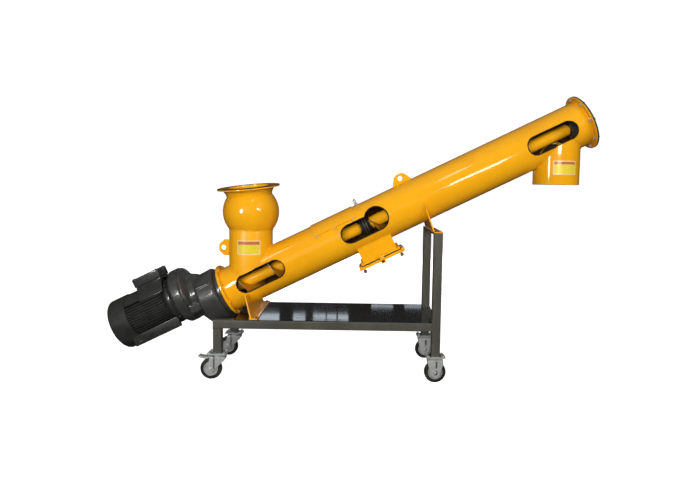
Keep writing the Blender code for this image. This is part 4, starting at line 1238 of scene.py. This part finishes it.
# %% Four castors
near_pedal = eased([(-0.0905, 0.0600), (-0.0865, 0.0628), (-0.0800, 0.0625), (-0.0720, 0.0590),
                    (-0.0560, 0.0580), (-0.0360, 0.0585), (-0.0360, 0.0505), (-0.0600, 0.0480),
                    (-0.0730, 0.0505), (-0.0830, 0.0545), (-0.0895, 0.0570)], 0.0015, 2)
far_pedal = strip([(0.020, 0.0605), (0.031, 0.0612), (0.0385, 0.0660), (0.0430, 0.0725), (0.0475, 0.0740)], 0.0032)
for word, side, pedal in (("near", -1, near_pedal), ("far", 1, far_pedal)):
    y = side * RAIL_Y
    swivel = MACHINE @ at(LEG_X, y, WHEEL_R)
    bm = bmesh.new()
    cheeks(bm, swivel, TRAIL, 0.018, SWIVEL_CHANNEL, 0.002)
    low, high = BRIDGE + 0.002, CASTOR_H - PLATE_T - GAP - WHEEL_R
    turn(bm, eased([(0, low), (HEAD_R, low), (HEAD_R, low + 0.0040), (HEAD_R - 0.0025, low + 0.0048),
                    (HEAD_R - 0.0025, low + 0.0062), (HEAD_R, low + 0.0070), (HEAD_R, high - 0.0030),
                    (HEAD_R - 0.004, high), (0, high)], 0.0008, 2, False), swivel, 64)
    fork = dress(solid(f"fork_left_{word}", bm), zinc, [f"swivel_fork_{word}"], f"swivel_{word}")
    # the faces in the pressed channels get a darker finish as painted shade
    grime_and_shade(fork, swivel, SWIVEL_CHANNEL)
    bm = bmesh.new()
    prism(bm, pedal, -0.016, 0.016, swivel @ ACROSS, 0.0006)
    arm = strip([(side * 0.010 + 0.004, 0.0440), (side * 0.020 + 0.004, 0.0500), (side * 0.030, 0.0590)], 0.003)
    for y_arm in (-0.0178, 0.0178):
        prism(bm, arm, -0.0012, 0.0012, swivel @ at(0, y_arm, 0) @ ACROSS, 0.0004)
    dress(solid(f"brake_pedal_{word}", bm), zinc if word == "near" else dark_steel, (), f"swivel_{word}")
    bm = bmesh.new()
    top_plate(bm, MACHINE @ at(LEG_X, y, 0), CASTOR_H - PLATE_T)
    plate_bolts(bm, MACHINE @ at(LEG_X, y, 0), CASTOR_H)
    dress(solid(f"top_plate_left_{word}", bm), zinc, [f"castor_plate_{word}"])
    wheel(f"left_wheel_{word}", f"left_{word}", (LEG_X - TRAIL, y, WHEEL_R))

    fixed = MACHINE @ at(POST_X, y, WHEEL_R)
    bm = bmesh.new()
    cheeks(bm, fixed, 0, 0.023, FIXED_CHANNEL, 0.022)
    middle = (BRIDGE + CASTOR_H - WHEEL_R) / 2 + 0.0005
    slab(bm, (0, 0, middle), (PLATE_X * 0.7, PLATE_Y * 0.6, CASTOR_H - WHEEL_R - BRIDGE - 0.001), fixed, 0.004, 4)
    top_plate(bm, fixed, CASTOR_H - PLATE_T - WHEEL_R)
    plate_bolts(bm, fixed, CASTOR_H - WHEEL_R)
    fork = dress(solid(f"fork_right_{word}", bm), zinc, [f"fixed_fork_{word}"])
    # the faces in the pressed channels get a darker finish as painted shade
    grime_and_shade(fork, fixed, FIXED_CHANNEL)
    wheel(f"right_wheel_{word}", f"right_{word}", (POST_X, y, WHEEL_R))

# %% [markdown]
# ## Gear unit
# A gear housing is cast iron: every joint between its round and flat parts is filled
# with a soft fillet. The parts are simply overlapped, then wrapped in one skin of small
# squares and smoothed, which melts them together as a casting does. The flanges are
# machined afterwards, so they are turned crisp and added on top.

# %% Cast case
INPUT_R, INPUT_BACK, INPUT_SEAM = 0.135, -0.240, -0.176
CASE_R, CASE_BACK, OUTPUT_R, OUTPUT_BACK = 0.130, -0.112, 0.134, -0.048
RING_BACK, RING_R = -0.021, 0.116
bm = bmesh.new()
turn(bm, [(0, -0.103), (0.067, -0.103), (0.090, -0.146), (0.1285, -0.163), (0.1305, -0.174), (0, -0.174)],
     MOTOR @ ALONG, 96)
turn(bm, [(0, -0.027), (OUTPUT_R - 0.006, -0.027), (OUTPUT_R, -0.034), (OUTPUT_R - 0.0005, OUTPUT_BACK + 0.006),
          (CASE_R, CASE_BACK), (0.055, CASE_BACK - 0.051), (0, CASE_BACK - 0.051)], TUBE @ ALONG, 96)
turn(bm, [(0, -0.100), (0.088, -0.100), (0.103, -0.125), (0.103, -0.170), (0, -0.170)],
     TUBE @ at(0, 0, 0.0405) @ ALONG, 96)
for side in (-1, 1):
    slab(bm, (-0.150, side * 0.100, -0.0025), (0.050, 0.041, 0.040), TUBE, 0.002)
    slab(bm, (-0.078, side * 0.096, 0.078), (0.068, 0.032, 0.011), TUBE, 0.002)
case = solid("gear_case", bm)
skin = case.modifiers.new("cast", "REMESH")
skin.mode = "VOXEL"
skin.voxel_size = 0.0028
melt = case.modifiers.new("melt", "SMOOTH")
melt.factor = 0.5
melt.iterations = 5
apply_steps(case)
dress(case, iron, ["gearbox"], angle=60)

bm = bmesh.new()
turn(bm, eased([(0, INPUT_SEAM + 0.002), (0.1295, INPUT_SEAM + 0.002), (0.1295, INPUT_SEAM - 0.001),
                (INPUT_R, INPUT_SEAM - 0.002), (INPUT_R, INPUT_BACK + 0.022), (INPUT_R - 0.022, INPUT_BACK),
                (0, INPUT_BACK)], 0.004, 4, False), MOTOR @ ALONG, 128)
turn(bm, eased([(0, RING_BACK - GAP), (OUTPUT_R - 0.014, RING_BACK - GAP), (OUTPUT_R - 0.002, -0.030),
                (OUTPUT_R - 0.008, -0.036), (0, -0.036)], 0.003, 4, False), TUBE @ ALONG, 128)
dress(solid("gear_flanges", bm), iron, angle=40)

bm = bmesh.new()
for a in circle(4, 0.5):
    hex_head(bm, MOTOR @ stand((INPUT_BACK + 0.004, 0.118 * cos(a), 0.118 * sin(a)), (-1, 0, 0)), 0.017, 0.009, True,
             0.004)
for side in (-1, 1):
    for s in (-0.168, -0.132):
        for t in (-0.0155, 0.0105):
            cap_head(bm, TUBE @ stand((s, side * 0.1204, t), (0, side, 0)), 0.0030, 0.0022)
dress(solid("gear_bolts", bm), dark_steel)
bm = bmesh.new()
turn(bm, ring_profile(RING_R, 0.060, RING_BACK, -GAP, 0.002), TUBE @ ALONG, 96, True)
dress(solid("adapter_spacer", bm), iron, ["adapter_ring"])

# %% [markdown]
# ## Motor
# An aluminium frame is drawn with level cooling fins on both sides. It stands on a cast
# foot, with a terminal box on top, a shield at the front and a fan cowl behind, whose
# guard is bent from wire rings.

# %% Frame with fins and front shield
MOTOR_FRONT, MOTOR_BACK, COWL_BACK, COWL_R = -0.270, -0.462, -0.559, 0.125
FRAME_R, FIN_ROOT_R, FIN_LOW, FIN_HIGH, FIN_COUNT = 0.121, 0.100, -0.064, 0.062, 11
FOOT_SPAN, FOOT_Y, FOOT_HIGH, FOOT_LOW = (-0.493, -0.250), 0.100, -0.072, -0.123
fin_step = (FIN_HIGH - FIN_LOW) / (FIN_COUNT - 1)
side_line = [(0.070, FOOT_HIGH + GAP)]
for i in range(FIN_COUNT):
    middle = FIN_LOW + i * fin_step
    for edge in (-1, 1):
        root_z, tip_z = middle + edge * 0.0030, middle + edge * 0.0018
        root = (sqrt(FIN_ROOT_R ** 2 - root_z ** 2), root_z)
        tip = (sqrt(FRAME_R ** 2 - tip_z ** 2), tip_z)
        side_line += [root, tip] if edge < 0 else [tip, root]
crown = arc(0, 0, FRAME_R, asin((FIN_HIGH + fin_step) / FRAME_R), radians(88), 14)
side_line = eased(side_line, 0.0014, 2, False) + crown
bm = bmesh.new()
prism(bm, side_line + [(-y, z) for y, z in reversed(side_line)], MOTOR_BACK, MOTOR_FRONT, MOTOR @ FACING, 0)
dress(solid("motor_fins", bm), alloy, ["motor_frame"], angle=38)

bm = bmesh.new()
turn(bm, eased([(0, INPUT_BACK - GAP), (0.112, INPUT_BACK - GAP), (0.112, -0.256), (0.106, MOTOR_FRONT + GAP),
                (0, MOTOR_FRONT + GAP)], 0.002, 3, False), MOTOR @ ALONG, 96)
room = box_tool((FOOT_SPAN[1] + GAP - 0.05, 0, FOOT_HIGH + GAP - 0.05), (0.1, 0.3, 0.1), MOTOR)
dress(carve(solid("front_shield", bm), room), alloy, ["motor_end_shield"])

# %% Fan cowl with its wire guard
guard_r, recess = 0.088, 0.007
bm = bmesh.new()
shoulder = [(COWL_R - 0.024 * (1 - cos(a)), COWL_BACK + 0.018 * (1 - sin(a))) for a in between(0, pi / 2, 10)]
profile = [(0, MOTOR_BACK - GAP), (COWL_R - 0.001, MOTOR_BACK - GAP), (COWL_R, MOTOR_BACK - 0.0012),
           (COWL_R, MOTOR_BACK - 0.0105), (COWL_R - 0.0012, MOTOR_BACK - 0.0112),
           (COWL_R - 0.0012, MOTOR_BACK - 0.0128), (COWL_R, MOTOR_BACK - 0.0135)] + shoulder
profile += eased([shoulder[-1], (guard_r, COWL_BACK), (guard_r, COWL_BACK + recess), (0, COWL_BACK + recess)],
                 0.0015, 3, False)[1:]
turn(bm, profile, MOTOR @ ALONG, 128)
cowl = dress(solid("cowl_shell", bm), alloy, ["fan_cowl"])
TO_MOTOR = MOTOR.inverted()


def behind_guard(centre):
    place = TO_MOTOR @ centre
    return hypot(place.y, place.z) < guard_r - 0.001 and place.x < COWL_BACK + recess + 0.001


# the recessed face behind the fan guard gets the painted shade
second_finish(cowl, inside, behind_guard)
bm = bmesh.new()
wire = 0.0013
for r in (0.014, 0.0265, 0.039, 0.0515, 0.064, 0.0765):
    bead(bm, [MOTOR @ Vector((COWL_BACK + 0.002, r * cos(a), r * sin(a))) for a in circle(60)], wire, True, 6)
for a in circle(8):
    spoke = [MOTOR @ Vector((COWL_BACK + 0.004, r * cos(a), r * sin(a))) for r in (0.006, 0.03, 0.06, guard_r + 0.002)]
    bead(bm, spoke, wire, False, 6)
disc(bm, MOTOR @ stand((COWL_BACK + 0.003, 0, 0), (-1, 0, 0)), 0.011, 0, 0.0025, 0.0008, 32)
for a in circle(4, 0.5):
    out = (0, cos(a), sin(a))
    cap_head(bm, MOTOR @ stand((MOTOR_BACK - 0.006, COWL_R * cos(a), COWL_R * sin(a)), out), 0.0042, 0.0026)
dress(solid("cowl_guard", bm), dark_steel, angle=50)

# %% Terminal box, foot and gland
TERMINAL, TERMINAL_LOW, TERMINAL_HIGH = (-0.387, -0.249), 0.120, 0.176
length = TERMINAL[1] - TERMINAL[0]
middle = (TERMINAL[0] + TERMINAL[1]) / 2
bm = bmesh.new()
skirt = eased([(-0.104, 0.066), (0.104, 0.066), (0.056, TERMINAL_LOW + 0.010), (-0.056, TERMINAL_LOW + 0.010)],
              0.006, 4)
prism(bm, skirt, -length / 2 + 0.007, length / 2 - 0.007, MOTOR @ at(middle, 0, 0) @ FACING, 0.003)
dress(carve(solid("box_pedestal", bm), rod_tool(MOTOR @ ALONG, FRAME_R + 2 * GAP, -0.6, -0.1)), alloy,
      ["terminal_box"])
lid_low = TERMINAL_LOW + 0.012
bm = bmesh.new()
slab(bm, (middle, 0, (TERMINAL_LOW + lid_low - 0.0008) / 2),
     (length - 0.003, 0.117, lid_low - 0.0008 - TERMINAL_LOW), MOTOR, 0.005, 4)
slab(bm, (middle, 0, lid_low), (length - 0.012, 0.108, 0.012), MOTOR, 0.004, 4)
slab(bm, (middle, 0, (lid_low + TERMINAL_HIGH) / 2), (length, 0.120, TERMINAL_HIGH - lid_low), MOTOR, 0.004, 4)
dress(solid("terminal_case", bm), alloy, angle=40)
bm = bmesh.new()
for ds in (-length / 2 + 0.011, length / 2 - 0.011):
    for y in (-0.049, 0.049):
        cap_head(bm, MOTOR @ at(middle + ds, y, TERMINAL_HIGH - 0.0002), 0.0045, 0.0026)
gland = MOTOR @ stand((TERMINAL[0] + 0.007, -0.050, 0.104), (-1, 0, 0))
hex_head(bm, gland, 0.020, 0.007, False)
turn(bm, eased([(0, 0.006), (0.0085, 0.006), (0.0085, 0.013), (0.006, 0.016), (0, 0.0165)], 0.001, 2, False), gland, 28)
dress(solid("terminal_fittings", bm), dark_steel)

middle, length, height = (FOOT_SPAN[0] + FOOT_SPAN[1]) / 2, FOOT_SPAN[1] - FOOT_SPAN[0], FOOT_HIGH - FOOT_LOW
bm = bmesh.new()
slab(bm, (middle, 0, FOOT_HIGH - height / 2), (length, 2 * FOOT_Y, height), MOTOR, 0.004, 3)
foot = carve(solid("cast_foot", bm),
             box_tool((middle, 0, FOOT_HIGH - 0.014 - height / 2), (length + 0.1, 2 * (FOOT_Y - 0.016), height), MOTOR),
             rod_tool(MOTOR @ ALONG, COWL_R + 0.001, MOTOR_BACK - 0.099, MOTOR_BACK + 0.001))
dress(foot, alloy, ["motor_foot"])
bm = bmesh.new()
for side in (-1, 1):
    for s in (FOOT_SPAN[0] + 0.032, FOOT_SPAN[1] - 0.030):
        place = MOTOR @ stand((s, side * (FOOT_Y - 0.0005), FOOT_LOW + 0.014), (0, side, 0))
        turn(bm, eased([(0, 0), (0.012, 0), (0.0105, 0.003), (0, 0.003)], 0.001, 2, False), place, 36)
        hex_head(bm, place @ at(0, 0, 0.0025), 0.011, 0.005, False)
dress(solid("foot_bosses", bm), alloy)

# %% [markdown]
# ## Stage and light
# The object stands on a pale floor that curves up all round, so no edge shows from any
# side. Broad panels in front, at the side, above and behind shape the form, and stay out
# of the reflections. Four small lamps stand where the real highlights say that bright
# lights were: a highlight's place, the surface's direction there and the camera give
# the direction of the light. Seven pale panes behind show only in the glossy shelf.

# %% Floor, panels and sky
bpy.context.scene.view_settings.view_transform = "Standard"
bm = bmesh.new()
FLOOR_R, BEND_R, WALL_TOP = 4.2, 2.0, 6.5
bend = [(FLOOR_R + BEND_R * sin(a), BEND_R * (1 - cos(a))) for a in between(0, pi / 2, 14)]
turn(bm, [(0, 0), *bend, (FLOOR_R + BEND_R, WALL_TOP)], Matrix.Identity(4), 96)
floor = solid("floor", bm)
backdrop = Finish("pale_floor", Roughness=0.9, Base_Color=(0.86, 0.86, 0.86, 1), Specular_IOR_Level=0.0,
                  Emission_Color=(1, 1, 1, 1), Emission_Strength=0.85)
floor.data.materials.append(backdrop.material)
shade(floor.data, 60)
floor.visible_glossy = False
floor.visible_diffuse = False

world = bpy.data.worlds.new("sky")
bpy.context.scene.world = world
world.use_nodes = True
nodes, links = world.node_tree.nodes, world.node_tree.links
direction = nodes.new("ShaderNodeTexCoord")
parts = nodes.new("ShaderNodeSeparateXYZ")
ramp = nodes.new("ShaderNodeValToRGB")
lift = nodes.new("ShaderNodeMath")
lift.operation = "MULTIPLY_ADD"
lift.inputs[1].default_value, lift.inputs[2].default_value = 0.5, 0.5
links.new(direction.outputs["Generated"], parts.inputs[0])
links.new(parts.outputs["Z"], lift.inputs[0])
links.new(lift.outputs[0], ramp.inputs[0])
links.new(ramp.outputs["Color"], nodes["Background"].inputs["Color"])
for stop, (position, colour) in zip(ramp.color_ramp.elements, ((0.60, (0.034, 0.032, 0.030, 1)),
                                                               (0.92, (0.15, 0.16, 0.18, 1)))):
    stop.position, stop.color = position, colour
nodes["Background"].inputs["Strength"].default_value = 0.9


def panel(name, place, target, width, height, power, warmth=(1, 1, 1)):
    light = bpy.data.lights.new(name, "AREA")
    light.shape = "RECTANGLE"
    light.size, light.size_y = width, height
    light.energy = power
    light.color = warmth
    obj = bpy.data.objects.new(name, light)
    bpy.context.scene.collection.objects.link(obj)
    obj.location = place
    obj.rotation_euler = (Vector(place) - Vector(target)).to_track_quat("Z", "Y").to_euler()
    obj.visible_camera = False
    return obj


# name, place, width, height and power of each light
SOFT_PANELS = (("key", (-0.9, -4.4, 1.4), 2.4, 1.8, 200), ("side", (2.9, -3.0, 2.3), 1.6, 1.6, 60),
               ("top", (0.0, -0.4, 4.2), 3.0, 2.0, 14), ("back", (0.5, 4.4, 1.5), 2.6, 1.6, 85))
MIRRORED_LAMPS = (("lamp_left", (-1.552, -1.919, 0.90), 0.28, 0.62, 18.0),
                  ("lamp_right", (0.85, -1.64, 1.185), 0.50, 0.20, 6.8),
                  ("lamp_high_left", (-2.10, -1.10, 2.80), 0.40, 0.40, 3.0),
                  ("lamp_high_right", (0.15, -1.86, 3.10), 0.40, 0.40, 3.0))
# left, right, low and high edge of each pane, which only the gloss of the shelf shows
PANES = ((-0.951, -0.732, 1.000, 1.090), (-0.586, -0.462, 1.000, 1.077), (-0.378, -0.250, 1.000, 1.074),
         (-0.237, -0.138, 1.000, 1.074), (-0.122, -0.015, 1.000, 1.074), (0.223, 0.450, 0.892, 0.916),
         (0.566, 0.762, 0.887, 0.911))
PANE_Y, PANE_RADIANCE = 3.0, 1.6
for name, place, *measures in SOFT_PANELS:
    panel(name, place, (0, 0, 0.62), *measures).visible_glossy = False
for name, place, *measures in MIRRORED_LAMPS:
    panel(name, place, (0.25, 0, 0.9), *measures).visible_diffuse = False
for left, right, low, high in PANES:
    width, height = right - left, high - low
    middle = Vector((SHIFT + (left + right) / 2, PANE_Y, (low + high) / 2))
    pane = panel("pane", middle, middle - Vector((0, 1, 0)), width, height, pi * width * height * PANE_RADIANCE,
                 (0.80, 0.90, 1.0))
    pane.visible_diffuse = False

# %% [markdown]
# ## The end
